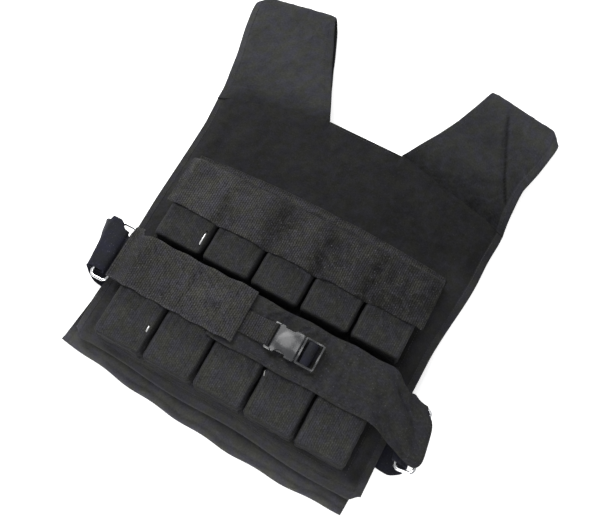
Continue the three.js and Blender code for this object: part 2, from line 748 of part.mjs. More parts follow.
// Where a ring's long bars lie: sign is -1 for the bar on the -x side, lean is its slant in x along y
function barOf(ring, sign) {
  const tilt = ring.tilt * Math.PI / 180;
  const turn = ring.turn * Math.PI / 180;
  const reach = sign * (RING_WIDTH - RING_WIRE) / 2;
  return {
    x: ring.x + reach * Math.cos(tilt) * Math.cos(turn),
    y: ring.y + reach * Math.cos(tilt) * Math.sin(turn),
    z: ring.z - reach * Math.sin(tilt),
    lean: -Math.tan(turn),
  };
}
const wrapRadius = (thick) => RING_WIRE / 2 + RING_CLEARANCE + thick / 2;

const beltMid = beltLowZ + BELT_THICK / 2;
const beltTop = beltMid + BELT_THICK / 2;
const webbingLow = beltTop + PIECE_GAP + WEBBING_THICK / 2;
const beltOverBelt = beltTop + 2 * PIECE_GAP + BELT_THICK / 2;
const beltOverWebbing = webbingLow + WEBBING_THICK / 2 + 2 * PIECE_GAP + BELT_THICK / 2;
const webbingStartX = BELT_LEFT_END_X - WEBBING_TUCK;
const beltRightStartX = webbingStartX - BELT_OVERLAP_PAST_WEBBING;

const tailOf = (table, barX, barZ, radius) => {
  return table.map(({ out, down }) => [barX + out * radius, barZ - down * radius]);
};

function dropToBar(fromX, barX, barTopZ) {
  return BELT_DROP.map(({ along, down }) => [lerp(fromX, barX, along), lerp(beltMid, barTopZ, down)]);
}

// Waist belt, left piece: from its cut end near the buckle over the blocks to the left ring
function beltLeft() {
  const radius = wrapRadius(BELT_THICK);
  const { x: barX, y: barY, z: barZ } = barOf(leftRing, 1);
  const lastX = BELT_SHOULDER - rowEndX;
  const line = [
    ...straight([BELT_LEFT_END_X, beltOverWebbing], [webbingStartX - 2, beltOverWebbing], 2),
    [webbingStartX - 2, beltOverWebbing],
    [beltRightStartX + 2, beltOverBelt],
    [beltRightStartX - 2, beltOverBelt],
    ...straight([beltRightStartX - 10, beltMid], [lastX, beltMid], 15),
    ...dropToBar(lastX, barX, barZ + radius),
    ...arc(barX, barZ, radius, 75, 285, 8),
    ...tailOf(BELT_TAIL_LEFT, barX, barZ, radius),
  ];
  return webbingStrip({
    line,
    thick: BELT_THICK,
    rows: 4,
    edges: ([x]) => {
      const near = smooth((lastX - x) / (lastX - barX - radius));
      const low = lerp(beltLeftBottomY, barY - ringHalfSpan, near);
      return [low, lerp(beltLeftTopY, barY + ringHalfSpan, near)];
    },
    lift: ([x]) => (x < beltRightStartX - 14 ? BELT_VALLEY * betweenBlocks(x) : 0),
  });
}

// Waist belt, right piece: under the left one, over the blocks, down and askew to the right ring
function beltRight() {
  const radius = wrapRadius(BELT_THICK);
  const { x: barX, y: barY, z: barZ, lean } = barOf(rightRing, 1);
  const lastX = rowEndX - BELT_SHOULDER;
  const line = [
    ...straight([beltRightStartX, beltMid], [lastX, beltMid], 20),
    ...dropToBar(lastX, barX, barZ + radius),
    ...arc(barX, barZ, radius, 100, -105, 8),
    ...tailOf(BELT_TAIL_RIGHT, barX, barZ, radius),
  ];
  return webbingStrip({
    line,
    thick: BELT_THICK,
    rows: 4,
    edges: ([x]) => {
      const near = smooth((x - lastX) / (barX - lastX));
      const low = lerp(beltRightBottomY, barY - ringHalfSpan, near);
      return [low, lerp(beltRightTopY, barY + ringHalfSpan, near)];
    },
    shear: ([x], y) => lean * (y - barY) * smooth((x - lastX) / (barX - radius - lastX)),
    lift: ([x], w) => {
      const along = (x - lastX) / (barX - lastX);
      const loose = smooth((along - 0.1) / 0.25) * (1 - smooth((along - 0.65) / 0.2));
      const crumple = BELT_CRUMPLE * loose * Math.sin(w * 9.4 + along * 7);
      const sink = x > beltRightStartX + 10 ? -BELT_VALLEY * betweenBlocks(x) : 0;
      return crumple + sink;
    },
  });
}

// Back belt: under the back panel, out at both sides, up and folded round the outer bar of each ring
function backBelt() {
  const radius = wrapRadius(BACK_BELT_THICK);
  const mid = BACK_BELT_THICK / 2;
  const { x: leftX, y: leftY, z: leftZ } = barOf(leftRing, -1);
  const { x: rightX, y: rightY, z: rightZ, lean } = barOf(rightRing, -1);
  const leftLoop = LOOP_LEFT.map(({ out, up }) => {
    return [leftX - out * BACK_LOOP_LEFT_REACH, lerp(mid, leftZ + radius, up)];
  });
  const rightLoop = LOOP_RIGHT.map(({ out, up }) => {
    return [rightX + out * BACK_LOOP_RIGHT_REACH, lerp(mid, rightZ + radius, up)];
  });
  const line = [
    ...tailOf(BACK_TAIL_LEFT, leftX, leftZ, radius),
    ...arc(leftX, leftZ, radius, -90, 100, 8),
    ...leftLoop,
    ...straight([leftX + radius * 4, mid], [rightX - radius * 4, mid], 12),
    ...rightLoop,
    ...arc(rightX, rightZ, radius, 10, 250, 8),
    ...tailOf(BACK_TAIL_RIGHT, rightX, rightZ, radius),
  ];
  return webbingStrip({
    line,
    thick: BACK_BELT_THICK,
    rows: 2,
    edges: ([x, z]) => {
      const barZ = x < 0 ? leftZ : rightZ;
      const raised = smooth((z - mid) / (0.7 * barZ));
      const midY = lerp(backBeltMidY(x), x < 0 ? leftY : rightY, raised);
      return [midY - backBeltWidth / 2, midY + backBeltWidth / 2];
    },
    shear: ([x, z], y) => {
      if (x > 0) return lean * (y - rightY) * smooth((z - mid) / (0.7 * rightZ));
      const out = clamp01((leftX - radius - x) / (BACK_LOOP_LEFT_REACH - radius));
      return out * BACK_LOOP_SHEAR * (leftY + backBeltWidth / 4 - y);
    },
  });
}

// Buckle halves: x along the belt from the socket's bar, y across from the middle, z up from the underside
const woundAt = (barHalf, barHalfHeight) => {
  return Math.hypot(barHalf, barHalfHeight) + PIECE_GAP + WEBBING_THICK / 2;
};
const leftWound = woundAt(BUCKLE_BAR / 2, BUCKLE_BAR_HALF_HEIGHT);
const rightWound = woundAt(BUCKLE_FRAME_BAR / 2, BUCKLE_THICK / 2 - BUCKLE_FRAME_INSET);
const rightReach = rightWound + WEBBING_THICK / 2;
const innerWidth = WEBBING_WIDTH + 2 * WEBBING_SIDE_PLAY;
const buckleWidth = innerWidth + 2 * BUCKLE_WALL;
const bodyStart = leftWound + WEBBING_THICK / 2 + 2 * PIECE_GAP;
const joinX = bodyStart + BUCKLE_BODY_LENGTH;
const firstSlotStart = joinX + BUCKLE_FRAME_RIM;
const ladderBarX = firstSlotStart + rightReach + BUCKLE_FRONT_SLOT_PLAY;
const ladderEnd = ladderBarX + rightReach + BUCKLE_REAR_SLOT_PLAY;
const frameEnd = ladderEnd + BUCKLE_FRAME_END_RIM;
const CUT = 1;

const acrossCut = (x0, x1, width) => {
  return solidOf(block(x0, x1, -width / 2, width / 2, -CUT, BUCKLE_THICK + CUT));
};

function buckleFemale() {
  const mid = BUCKLE_THICK / 2;
  const barLow = mid - BUCKLE_BAR_HALF_HEIGHT;
  const barHigh = mid + BUCKLE_BAR_HALF_HEIGHT;
  const shell = slab(bodyStart, joinX, buckleWidth, 0, BUCKLE_THICK, BUCKLE_ROUND, BUCKLE_CHAMFER);
  const tailEnd = bodyStart + BUCKLE_ROUND;
  const tail = slab(-BUCKLE_BAR / 2, tailEnd, buckleWidth, barLow, barHigh, BUCKLE_BAR / 2, BUCKLE_BAR / 4);
  const cavity = block(
    bodyStart + BUCKLE_WALL,
    joinX + CUT,
    -innerWidth / 2,
    innerWidth / 2,
    BUCKLE_WALL,
    BUCKLE_THICK - BUCKLE_WALL,
  );
  let body = solidOf(shell).add(solidOf(tail));
  body = body.subtract(acrossCut(BUCKLE_BAR / 2, bodyStart, innerWidth));
  body = body.subtract(solidOf(cavity));
  for (const side of [-1, 1]) {
    const notch = new THREE.CylinderGeometry(BUCKLE_NOTCH, BUCKLE_NOTCH, BUCKLE_THICK + 2 * CUT, 14);
    notch.rotateX(Math.PI / 2);
    notch.scale(BUCKLE_NOTCH_STRETCH, 1, 1);
    notch.translate(lerp(bodyStart, joinX, BUCKLE_NOTCH_PLACE), side * buckleWidth / 2, BUCKLE_THICK / 2);
    body = body.subtract(solidOf(notch));
  }
  return geometryOf(body);
}

function buckleMale() {
  const frameWidth = buckleWidth - 2 * PRONG_GAP;
  const low = BUCKLE_FRAME_INSET;
  const high = BUCKLE_THICK - BUCKLE_FRAME_INSET;
  const slotWidth = frameWidth - 2 * BUCKLE_WALL;
  const barHalf = BUCKLE_FRAME_BAR / 2;
  const outer = slab(joinX + PRONG_GAP, frameEnd, frameWidth, low, high, BUCKLE_WALL, BUCKLE_CHAMFER / 2);
  let frame = solidOf(outer);
  frame = frame.subtract(acrossCut(firstSlotStart, ladderBarX - barHalf, slotWidth));
  frame = frame.subtract(acrossCut(ladderBarX + barHalf, ladderEnd, slotWidth));
  const armLow = BUCKLE_WALL + PRONG_GAP;
  const armHigh = BUCKLE_THICK - BUCKLE_WALL - PRONG_GAP;
  const armStart = bodyStart + BUCKLE_WALL + PRONG_GAP;
  const armOuter = innerWidth / 2 - PRONG_GAP;
  const root = joinX + PRONG_GAP + CUT;
  frame = frame.add(solidOf(block(armStart, root, armOuter - PRONG_WIDTH, armOuter, armLow, armHigh)));
  frame = frame.add(solidOf(block(armStart, root, -armOuter, PRONG_WIDTH - armOuter, armLow, armHigh)));
  const guide = lerp(armStart, root, GUIDE_SHARE);
  frame = frame.add(solidOf(block(guide, root, -PRONG_WIDTH / 2, PRONG_WIDTH / 2, armLow, armHigh)));
  return geometryOf(frame);
}

// Webbing that ties the buckle to the belt: a loop round a bar, its legs flat on the belt
const buckleLow = webbingLow + WEBBING_THICK / 2 + PIECE_GAP;
const buckleMidZ = buckleLow + BUCKLE_THICK / 2;
const webbingEdges = () => [beltRightMidY - WEBBING_WIDTH / 2, beltRightMidY + WEBBING_WIDTH / 2];

function buckleWebbingLeft() {
  const wrap = leftWound;
  const upper = webbingLow + WEBBING_THICK + PIECE_GAP;
  const line = [
    ...straight([webbingStartX, webbingLow], [BUCKLE_BAR_X - wrap * 2, webbingLow], 7),
    [BUCKLE_BAR_X - wrap * 2, webbingLow],
    ...arc(BUCKLE_BAR_X, buckleMidZ, wrap, -80, 130, 8),
    [BUCKLE_BAR_X - wrap * 2.1, lerp(upper, buckleMidZ, 0.7)],
    [BUCKLE_BAR_X - wrap * 4, lerp(upper, buckleMidZ, 0.2)],
    [BUCKLE_BAR_X - wrap * 6.5, upper],
    [BELT_LEFT_END_X + 3, upper],
  ];
  return webbingStrip({ line, thick: WEBBING_THICK, rows: 3, edges: webbingEdges });
}

function buckleWebbingRight() {
  const barX = BUCKLE_BAR_X + ladderBarX;
  const wrap = rightWound;
  const line = [
    [barX + wrap * 1.5, webbingLow],
    [barX + wrap * 1.05, webbingLow],
    ...arc(barX, buckleMidZ, wrap, -35, 215, 10),
    [barX - wrap * 1.05, webbingLow],
    [barX - wrap * 1.5, webbingLow],
  ];
  return webbingStrip({ line, thick: WEBBING_THICK, rows: 2, edges: webbingEdges });
}

const CANVAS = { color: 0x24262b, roughness: 0.92, metalness: 0 };
const STRAP_CANVAS = { color: 0x303238, roughness: 0.9, metalness: 0 };
const POCKET_CANVAS = { color: 0x1f2125, roughness: 0.9, metalness: 0 };
const WEBBING = { color: 0x34363b, roughness: 0.85, metalness: 0 };
const DARK_WEBBING = { color: 0x14161d, roughness: 0.85, metalness: 0 };
const STEEL = { color: 0xb8babd, roughness: 0.35, metalness: 1 };
const NICKEL = { color: 0xd6d8dc, roughness: 0.18, metalness: 1 };
const BUCKLE_PLASTIC = { color: 0x2c2e33, roughness: 0.25, metalness: 0 };

function namedMesh(name, geometry, finish) {
  const mesh = new THREE.Mesh(geometry, new THREE.MeshStandardMaterial(finish));
  mesh.name = name;
  return mesh;
}

const vest = new THREE.Group();

const shell = new THREE.Group();
const addSheet = (name, columns, rowCount, shapeAt, finish) => {
  shell.add(namedMesh(name, thickSheet(columns, rowCount, shapeAt(true), shapeAt(false)), finish));
};
addSheet('front_panel', 24, 15, frontPanelAt, CANVAS);
addSheet('back_panel', 16, 15, backPanelAt, CANVAS);
addSheet('shoulder_strap_left', 6, 20, (upperFace) => strapAt(-1, upperFace), STRAP_CANVAS);
addSheet('shoulder_strap_right', 6, 20, (upperFace) => strapAt(1, upperFace), STRAP_CANVAS);
addSheet('pocket_flap', 34, flapLine.length - 1, flapAt, WEBBING);
vest.add(shell);

const rows = [
  { name: 'upper', lowY: UPPER_FACE_BOTTOM_Y, slitUp: UPPER_SLIT_UP, slitLength: UPPER_SLIT_LENGTH },
  { name: 'lower', lowY: lowerFaceBottomY, slitUp: LOWER_SLIT_UP, slitLength: LOWER_SLIT_LENGTH },
];
for (const { name, lowY, slitUp, slitLength } of rows) {
  const row = new THREE.Group();
  row.position.set(0, lowY, pocketBaseZ);
  for (let i = 0; i < POCKET_COUNT; i += 1) {
    const shape = i === 0 ? slitPouch(slitUp, slitLength) : pouch();
    const pocket = namedMesh(`${name}_pocket_${i + 1}`, shape, POCKET_CANVAS);
    pocket.position.x = pocketX(i);
    row.add(pocket);
    const half = WEIGHT_WIDTH / 2;
    const ingot = slab(-half, half, WEIGHT_LENGTH, 0, WEIGHT_THICK, WEIGHT_CORNER, WEIGHT_CHAMFER, 1);
    const weight = namedMesh(`${name}_weight_${i + 1}`, ingot, STEEL);
    weight.position.set(pocketX(i), pocketFaceLength / 2, PIECE_GAP - SEAM_GAP);
    row.add(weight);
  }
  vest.add(row);
}

const belt = new THREE.Group();
belt.add(namedMesh('belt_left', beltLeft(), WEBBING));
belt.add(namedMesh('belt_right', beltRight(), CANVAS));
belt.add(namedMesh('back_belt', backBelt(), DARK_WEBBING));
for (const place of [leftRing, rightRing]) {
  const ring = namedMesh(place.name, wireRing(), NICKEL);
  ring.position.set(place.x, place.y, place.z);
  ring.rotation.set(0, place.tilt * Math.PI / 180, place.turn * Math.PI / 180, 'ZYX');
  belt.add(ring);
}
vest.add(belt);

const buckle = new THREE.Group();
buckle.position.set(BUCKLE_BAR_X, beltRightMidY, buckleLow);
buckle.add(namedMesh('buckle_female', buckleFemale(), BUCKLE_PLASTIC));
buckle.add(namedMesh('buckle_male', buckleMale(), BUCKLE_PLASTIC));
vest.add(buckle);
vest.add(namedMesh('buckle_webbing_left', buckleWebbingLeft(), WEBBING));
vest.add(namedMesh('buckle_webbing_right', buckleWebbingRight(), DARK_WEBBING));

// The origin goes to the middle of the footprint, on the floor
vest.updateMatrixWorld(true);
const bounds = new THREE.Box3().setFromObject(vest, true);
const middle = bounds.getCenter(new THREE.Vector3());
vest.position.set(-middle.x, -middle.y, -bounds.min.z);

export default vest;
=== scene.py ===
# %% [markdown]
# # A weighted vest, lying front up
# The real vest is sewn from black canvas: a padded front and back, two padded shoulder straps, ten pouches
# with a steel ingot each, a webbing flap and a waist belt on metal rings. Its construction is fixed already,
# so this script loads that frame and dresses it. Cloth pieces are new meshes in the place of their plain
# solids, and hard pieces keep their solids and get a finish.
# %% Load the frame
import json
import math

import bpy
import numpy as np
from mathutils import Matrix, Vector
from mathutils.bvhtree import BVHTree

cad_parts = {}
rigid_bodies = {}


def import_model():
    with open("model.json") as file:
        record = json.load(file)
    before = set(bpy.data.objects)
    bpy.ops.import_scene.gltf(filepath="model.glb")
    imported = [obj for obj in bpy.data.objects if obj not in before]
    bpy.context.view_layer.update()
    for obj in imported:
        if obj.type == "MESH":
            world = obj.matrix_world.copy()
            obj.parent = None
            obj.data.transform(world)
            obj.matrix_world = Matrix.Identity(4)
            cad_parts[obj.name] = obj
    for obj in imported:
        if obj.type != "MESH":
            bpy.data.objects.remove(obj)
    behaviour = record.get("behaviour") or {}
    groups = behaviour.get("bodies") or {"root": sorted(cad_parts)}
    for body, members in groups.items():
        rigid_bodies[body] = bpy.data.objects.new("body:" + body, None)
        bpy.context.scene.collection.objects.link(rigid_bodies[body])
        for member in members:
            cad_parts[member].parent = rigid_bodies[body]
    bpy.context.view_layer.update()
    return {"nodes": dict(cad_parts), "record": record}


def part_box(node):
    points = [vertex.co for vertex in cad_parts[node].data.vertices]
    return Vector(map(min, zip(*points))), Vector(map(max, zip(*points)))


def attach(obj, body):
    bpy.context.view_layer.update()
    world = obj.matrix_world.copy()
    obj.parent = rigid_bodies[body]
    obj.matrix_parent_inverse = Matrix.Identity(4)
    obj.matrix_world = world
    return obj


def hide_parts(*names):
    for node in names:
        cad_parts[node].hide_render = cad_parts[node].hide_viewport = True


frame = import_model()
MM = 0.001

# %% [markdown]
# ## The vest's own measures
# A sewing pattern is drawn from a few lines: here the middle of the front, and the row of pouches. Both are
# read from the frame, so that every cloth piece lands on the piece that it covers. Lengths are millimetres,
# y runs from the hem to the shoulders, and y = 0 lies 46 mm above the lower edge of the upper blocks.
# %% Read the measures from the frame
def box_mm(node):
    low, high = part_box(node)
    return np.array(low) / MM, np.array(high) / MM


POCKETS = 5
UPPER_EDGE_Y = -46
BLOCK_SPLAY = 3
middle_low, middle_high = box_mm("upper_pocket_3")
lower_low = box_mm("lower_pocket_3")[0]
ORIGIN = np.array([
    (middle_low[0] + middle_high[0]) / 2,
    middle_low[1] - UPPER_EDGE_Y + BLOCK_SPLAY,
    0,
])
PITCH = (box_mm("upper_pocket_5")[0][0] - box_mm("upper_pocket_1")[0][0]) / (POCKETS - 1)
LOWER_EDGE_Y = lower_low[1] - ORIGIN[1] + BLOCK_SPLAY
BLOCK_BASE_WIDTH = middle_high[0] - middle_low[0]
BLOCK_LENGTH = middle_high[1] - middle_low[1] - 2 * BLOCK_SPLAY
BLOCK_BASE_Z = middle_low[2]
BLOCK_TOP_Z = middle_high[2]
ROW_END_X = POCKETS * PITCH / 2
HALF_WIDTH = ROW_END_X + 30
SEAM_GAP = 0.3
PANEL_TOP_Z = BLOCK_BASE_Z - SEAM_GAP
print("pouch pitch", round(PITCH, 1), "block", round(BLOCK_LENGTH, 1), "long, top at", round(BLOCK_TOP_Z, 1))

# %% [markdown]
# ## Camera, floor and light
# The photo was taken from almost straight above, from the hem's side and turned by 28 degrees. The floor is
# a large pale sheet that glows a little, as an overexposed one does. Black cloth only shows its folds when
# light rakes over it, so the main soft light stands low beyond the left shoulder. A second one hangs where
# the buckle mirrors it to the camera, and a third stands low on the hem's side, for the hem and the pouches'
# walls. A dim sky fills the rest.
# %% Camera, floor and light
CAMERA_AZIMUTH = 28.39
CAMERA_ELEVATION = 72.55
CAMERA_DISTANCE = 0.858
PHOTO_WIDTH_PX = 590
FOCAL_PX = 750
SENSOR_MM = 36
NEAREST_VIEW = 0.05
AIM_X = 3.4
AIM = (ORIGIN + np.array([AIM_X, 0, BLOCK_TOP_Z])) * MM
FLOOR_REACH = 6.0
FLOOR_DROP = 0.0004
FLOOR_GLOW = 0.62
SKY_STRENGTH = 0.42
SOFTBOXES = {
    "shoulder_light": {"turn": 208, "elevation": 40, "distance": 1.6, "size": 0.7, "power": 23},
    "buckle_light": {"turn": 186, "elevation": 71, "distance": 1.7, "size": 0.62, "power": 5.8},
    "hem_light": {"turn": -20, "elevation": 26, "distance": 1.7, "size": 0.9, "power": 18},
}


def direction(azimuth, elevation):
    a, e = math.radians(azimuth), math.radians(elevation)
    return Vector((math.sin(a) * math.cos(e), -math.cos(a) * math.cos(e), math.sin(e)))


def aim_at_vest(thing, azimuth, elevation, distance):
    """Stand a camera or a light away from the vest and point it there."""
    back = direction(azimuth, elevation)
    thing.rotation_mode = "QUATERNION"
    thing.location = Vector(AIM) + back * distance
    thing.rotation_quaternion = (-back).to_track_quat("-Z", "Y")
    bpy.context.scene.collection.objects.link(thing)


def add_camera():
    data = bpy.data.cameras.new("camera")
    data.sensor_width = SENSOR_MM
    data.lens = FOCAL_PX * SENSOR_MM / PHOTO_WIDTH_PX
    data.clip_start = NEAREST_VIEW
    camera = bpy.data.objects.new("camera", data)
    aim_at_vest(camera, CAMERA_AZIMUTH, CAMERA_ELEVATION, CAMERA_DISTANCE)
    bpy.context.scene.camera = camera


def add_softbox(name, turn, elevation, distance, size, power):
    data = bpy.data.lights.new(name, "AREA")
    data.shape = "SQUARE"
    data.size = size
    data.energy = power
    aim_at_vest(bpy.data.objects.new(name, data), CAMERA_AZIMUTH + turn, elevation, distance)


def add_floor():
    mesh = bpy.data.meshes.new("floor")
    reach = FLOOR_REACH
    mesh.from_pydata([(-reach, -reach, 0), (reach, -reach, 0), (reach, reach, 0), (-reach, reach, 0)],
                     [], [(0, 1, 2, 3)])
    floor = bpy.data.objects.new("floor", mesh)
    floor.location.z = -FLOOR_DROP
    material = bpy.data.materials.new("pale_floor")
    material.use_nodes = True
    shader = material.node_tree.nodes["Principled BSDF"]
    shader.inputs["Base Color"].default_value = (0.9, 0.9, 0.9, 1)
    shader.inputs["Roughness"].default_value = 0.8
    shader.inputs["Specular IOR Level"].default_value = 0.1
    shader.inputs["Emission Color"].default_value = (1, 1, 1, 1)
    shader.inputs["Emission Strength"].default_value = FLOOR_GLOW
    mesh.materials.append(material)
    bpy.context.scene.collection.objects.link(floor)


def set_sky(strength):
    world = bpy.data.worlds.new("studio")
    world.use_nodes = True
    sky = world.node_tree.nodes["Background"]
    sky.inputs["Color"].default_value = (1, 1, 1, 1)
    sky.inputs["Strength"].default_value = strength
    bpy.context.scene.world = world


add_camera()
add_floor()
set_sky(SKY_STRENGTH)
for light_name, softbox in SOFTBOXES.items():
    add_softbox(light_name, **softbox)
bpy.context.scene.view_settings.view_transform = "Standard"
print("camera", [round(v, 3) for v in bpy.context.scene.camera.location], "lights", list(SOFTBOXES))

# %% [markdown]
# ## Helpers for sewn pieces
# A sewn piece is a thick sheet. It could be a plane with a Solidify modifier, but borders, bindings and
# folds need their own spacing, so here each sheet is two grids of points, upper and lower, joined round the
# rim. The points are worked out with arrays, so a fold is one formula on all points at once.
# %% Grids and meshes
def spread(low, high, borders, count):
    """Places from low to high: close together at both borders, even between them."""
    low, high = np.asarray(low, float), np.asarray(high, float)
    steps = np.array(borders, float)
    start = low[..., None] + steps
    end = high[..., None] - steps[::-1]
    share = np.linspace(0, 1, count + 2)[1:-1]
    inner = start[..., -1:] + (end[..., :1] - start[..., -1:]) * share
    return np.concatenate([start, inner, end], axis=-1)


def grid_quads(rows, cols):
    r, c = np.meshgrid(np.arange(rows - 1), np.arange(cols - 1), indexing="ij")
    a = r * cols + c
    return np.stack([a, a + 1, a + cols + 1, a + cols], axis=-1).reshape(-1, 4)


def signed_volume(points, quads):
    a, b, c, d = (points[quads[:, k]] for k in range(4))
    first = np.einsum("ij,ij->i", a, np.cross(b, c))
    second = np.einsum("ij,ij->i", a, np.cross(c, d))
    return float((first + second).sum() / 6)


def add_mesh(name, points, faces, material, uv=None, tone_and_painted_light=None):
    """A new smooth object from points in the vest's own millimetres."""
    mesh = bpy.data.meshes.new(name)
    mesh.from_pydata(((points + ORIGIN) * MM).tolist(), [], [list(f) for f in faces])
    if uv is not None:
        layer = mesh.uv_layers.new(name="UVMap")
        corners = np.zeros(len(mesh.loops), np.int32)
        mesh.loops.foreach_get("vertex_index", corners)
        layer.data.foreach_set("uv", (uv[corners] * MM).astype(np.float32).ravel())
    shade = mesh.attributes.new("tone_and_painted_light", "FLOAT", "POINT")
    values = np.zeros(len(points), np.float32) if tone_and_painted_light is None else tone_and_painted_light.astype(np.float32)
    shade.data.foreach_set("value", values)
    mesh.shade_smooth()
    mesh.materials.append(material)
    piece = bpy.data.objects.new(name, mesh)
    bpy.context.scene.collection.objects.link(piece)
    return piece


def closed_sheet(name, top, bottom, uv, material, tone_and_painted_light=None):
    rows, cols = top.shape[:2]
    count = rows * cols
    index = np.arange(count).reshape(rows, cols)
    loop = np.concatenate([index[0, :-1], index[:-1, -1], index[-1, :0:-1], index[:0:-1, 0]])
    ahead = np.roll(loop, -1)
    rim = np.stack([loop + count, ahead + count, ahead, loop], axis=-1)
    quads = grid_quads(rows, cols)
    faces = np.concatenate([quads, quads[:, ::-1] + count, rim])
    points = np.concatenate([top.reshape(-1, 3), bottom.reshape(-1, 3)])
    if signed_volume(points, faces) < 0:
        faces = faces[:, ::-1]
    both = np.concatenate([uv.reshape(-1, 2)] * 2)
    shade = None if tone_and_painted_light is None else np.concatenate([tone_and_painted_light.ravel()] * 2)
    return add_mesh(name, points, faces, material, both, shade)


print("ten millimetres with close borders:", spread(0, 10, [0, 0.5, 1.5], 3))


# %% Formulas for cloth
def smooth(t):
    t = np.clip(t, 0, 1)
    return t * t * (3 - 2 * t)


def round_edge(distance, half):
    """How far a sheet's face stands from its middle, at a distance from the border: a rounded edge."""
    near = np.clip(distance / half, 0, 1)
    return half * np.sqrt(np.clip(1 - (1 - near) ** 2, 0, 1))


def bell(away, width):
    """1 on a line and soon 0 beside it: the outline of one soft fold."""
    return np.exp(-(away / width) ** 2)


def spot(x, y, at, reach):
    """1 at a place and soon 0 round it."""
    return np.exp(-(((x - at[0]) / reach[0]) ** 2 + ((y - at[1]) / reach[1]) ** 2))


def swell(x, y, wave, seed, count=7):
    """Soft uneven waves of about that length, from -1.5 to 1.5, the same each run."""
    rng = np.random.default_rng(seed)
    total = np.zeros(np.broadcast(x, y).shape)
    for _ in range(count):
        heading = rng.uniform(0, math.pi)
        turn = 2 * math.pi / (wave * rng.uniform(0.7, 1.5))
        total += np.sin(turn * (x * math.cos(heading) + y * math.sin(heading)) + rng.uniform(0, 6.28))
    return total / math.sqrt(count)


def crumple(x, y, wave, seed):
    """Handled cloth: flat dents that meet in soft ridges, from 0 to about 1."""
    bent_x = x + 0.25 * wave * swell(x, y, wave * 1.3, seed + 1, 4)
    bent_y = y + 0.25 * wave * swell(x, y, wave * 1.3, seed + 2, 4)
    first = np.abs(swell(bent_x, bent_y, wave, seed + 3, 3))
    second = np.abs(swell(bent_x, bent_y, wave * 0.6, seed + 4, 3))
    return (1 - np.clip(first, 0, 1)) ** 2 + 0.5 * (1 - np.clip(second, 0, 1)) ** 2 - 0.4


def creases(x, y, table):
    """Folds drawn as lines: each runs from one spot to another, with a width and a height."""
    total = np.zeros(np.broadcast(x, y).shape)
    for row in table:
        (x0, y0), (x1, y1) = row["start"], row["end"]
        length = math.hypot(x1 - x0, y1 - y0)
        ux, uy = (x1 - x0) / length, (y1 - y0) / length
        along = (x - x0) * ux + (y - y0) * uy
        bow = row.get("bow", 0) * np.sin(np.clip(along / length, 0, 1) * math.pi)
        away = (y - y0) * ux - (x - x0) * uy - bow
        ends = smooth(along / (0.3 * length)) * smooth((length - along) / (0.3 * length))
        total += row["height"] * ends * bell(away, row["width"])
    return total


print("a fold's height from its middle outward:", np.round(bell(np.arange(5), 2), 2))


# %% Curves and paths
def soft_curve(places, values, soften):
    """A smooth curve through a short table."""
    fine = np.arange(places[0] - 2 * soften, places[-1] + 2 * soften, 1.0)
    rough = np.interp(fine, places, values)
    kernel = np.hanning(2 * int(soften) + 1)
    kernel /= kernel.sum()
    curve = np.convolve(np.pad(rough, int(soften), mode="edge"), kernel, mode="valid")
    return lambda v: np.interp(v, fine, curve)


def arc_length(points):
    step = np.linalg.norm(np.diff(points, axis=0), axis=1)
    return np.concatenate([[0], np.cumsum(step)])


def soften_line(line, spacing, radius):
    """A path resampled at even steps and rounded, with its ends kept."""
    length = arc_length(line)
    count = int(length[-1] / spacing) + 1
    even = np.linspace(0, length[-1], count)
    path = np.column_stack([np.interp(even, length, line[:, k]) for k in range(line.shape[1])])
    half = max(1, int(radius / spacing))
    kernel = np.hanning(2 * half + 3)[1:-1]
    kernel /= kernel.sum()
    mirrored = np.concatenate([
        2 * path[0] - path[half:0:-1],
        path,
        2 * path[-1] - path[-2:-half - 2:-1],
    ])
    return np.column_stack([np.convolve(mirrored[:, k], kernel, mode="valid") for k in range(line.shape[1])])


def path_tangent(path):
    """The way a path heads at each of its points, one unit long."""
    tangent = np.gradient(path, axis=0)
    return tangent / np.linalg.norm(tangent, axis=1)[:, None]


def finish_piece(piece, slot, *nodes):
    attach(piece, "root")
    if nodes:
        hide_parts(*nodes)
    return piece


# %% [markdown]
# ## Finishes
# Canvas and webbing are the same black yarn, woven finely or in coarse ribs. Three node groups hold what the
# finishes share: a plain weave, a ribbed weave, and the uneven dye, dust and lint of cloth that has been
# handled. A painted picture of cloth would be quicker, but a pattern of nodes stays sharp at any distance.
# %% Node helpers
def new_group(name, inputs, outputs):
    group = bpy.data.node_groups.new(name, "ShaderNodeTree")
    for label, kind, value in inputs:
        socket = group.interface.new_socket(label, in_out="INPUT", socket_type=kind)
        if value is not None:
            socket.default_value = value
    for label, kind in outputs:
        group.interface.new_socket(label, in_out="OUTPUT", socket_type=kind)
    return group, group.nodes.new("NodeGroupInput"), group.nodes.new("NodeGroupOutput")


def feed(tree, socket, value):
    """Give a socket a number, a colour, or what another node puts out."""
    if isinstance(value, (int, float)):
        socket.default_value = value
    elif isinstance(value, (tuple, list)):
        socket.default_value = (*value, 1)
    else:
        tree.links.new(value, socket)


def math_node(tree, operation, *values):
    node = tree.nodes.new("ShaderNodeMath")
    node.operation = operation
    for k, value in enumerate(values):
        feed(tree, node.inputs[k], value)
    return node.outputs[0]


def noise_node(tree, vector, scale, detail=2.0, roughness=0.5):
    node = tree.nodes.new("ShaderNodeTexNoise")
    node.inputs["Detail"].default_value = detail
    node.inputs["Roughness"].default_value = roughness
    feed(tree, node.inputs["Scale"], scale)
    feed(tree, node.inputs["Vector"], vector)
    return node.outputs["Fac"]


def map_range(tree, value, low, high, to_low=0.0, to_high=1.0):
    node = tree.nodes.new("ShaderNodeMapRange")
    for label, number in (("From Min", low), ("From Max", high), ("To Min", to_low), ("To Max", to_high)):
        node.inputs[label].default_value = number
    tree.links.new(value, node.inputs["Value"])
    return node.outputs["Result"]


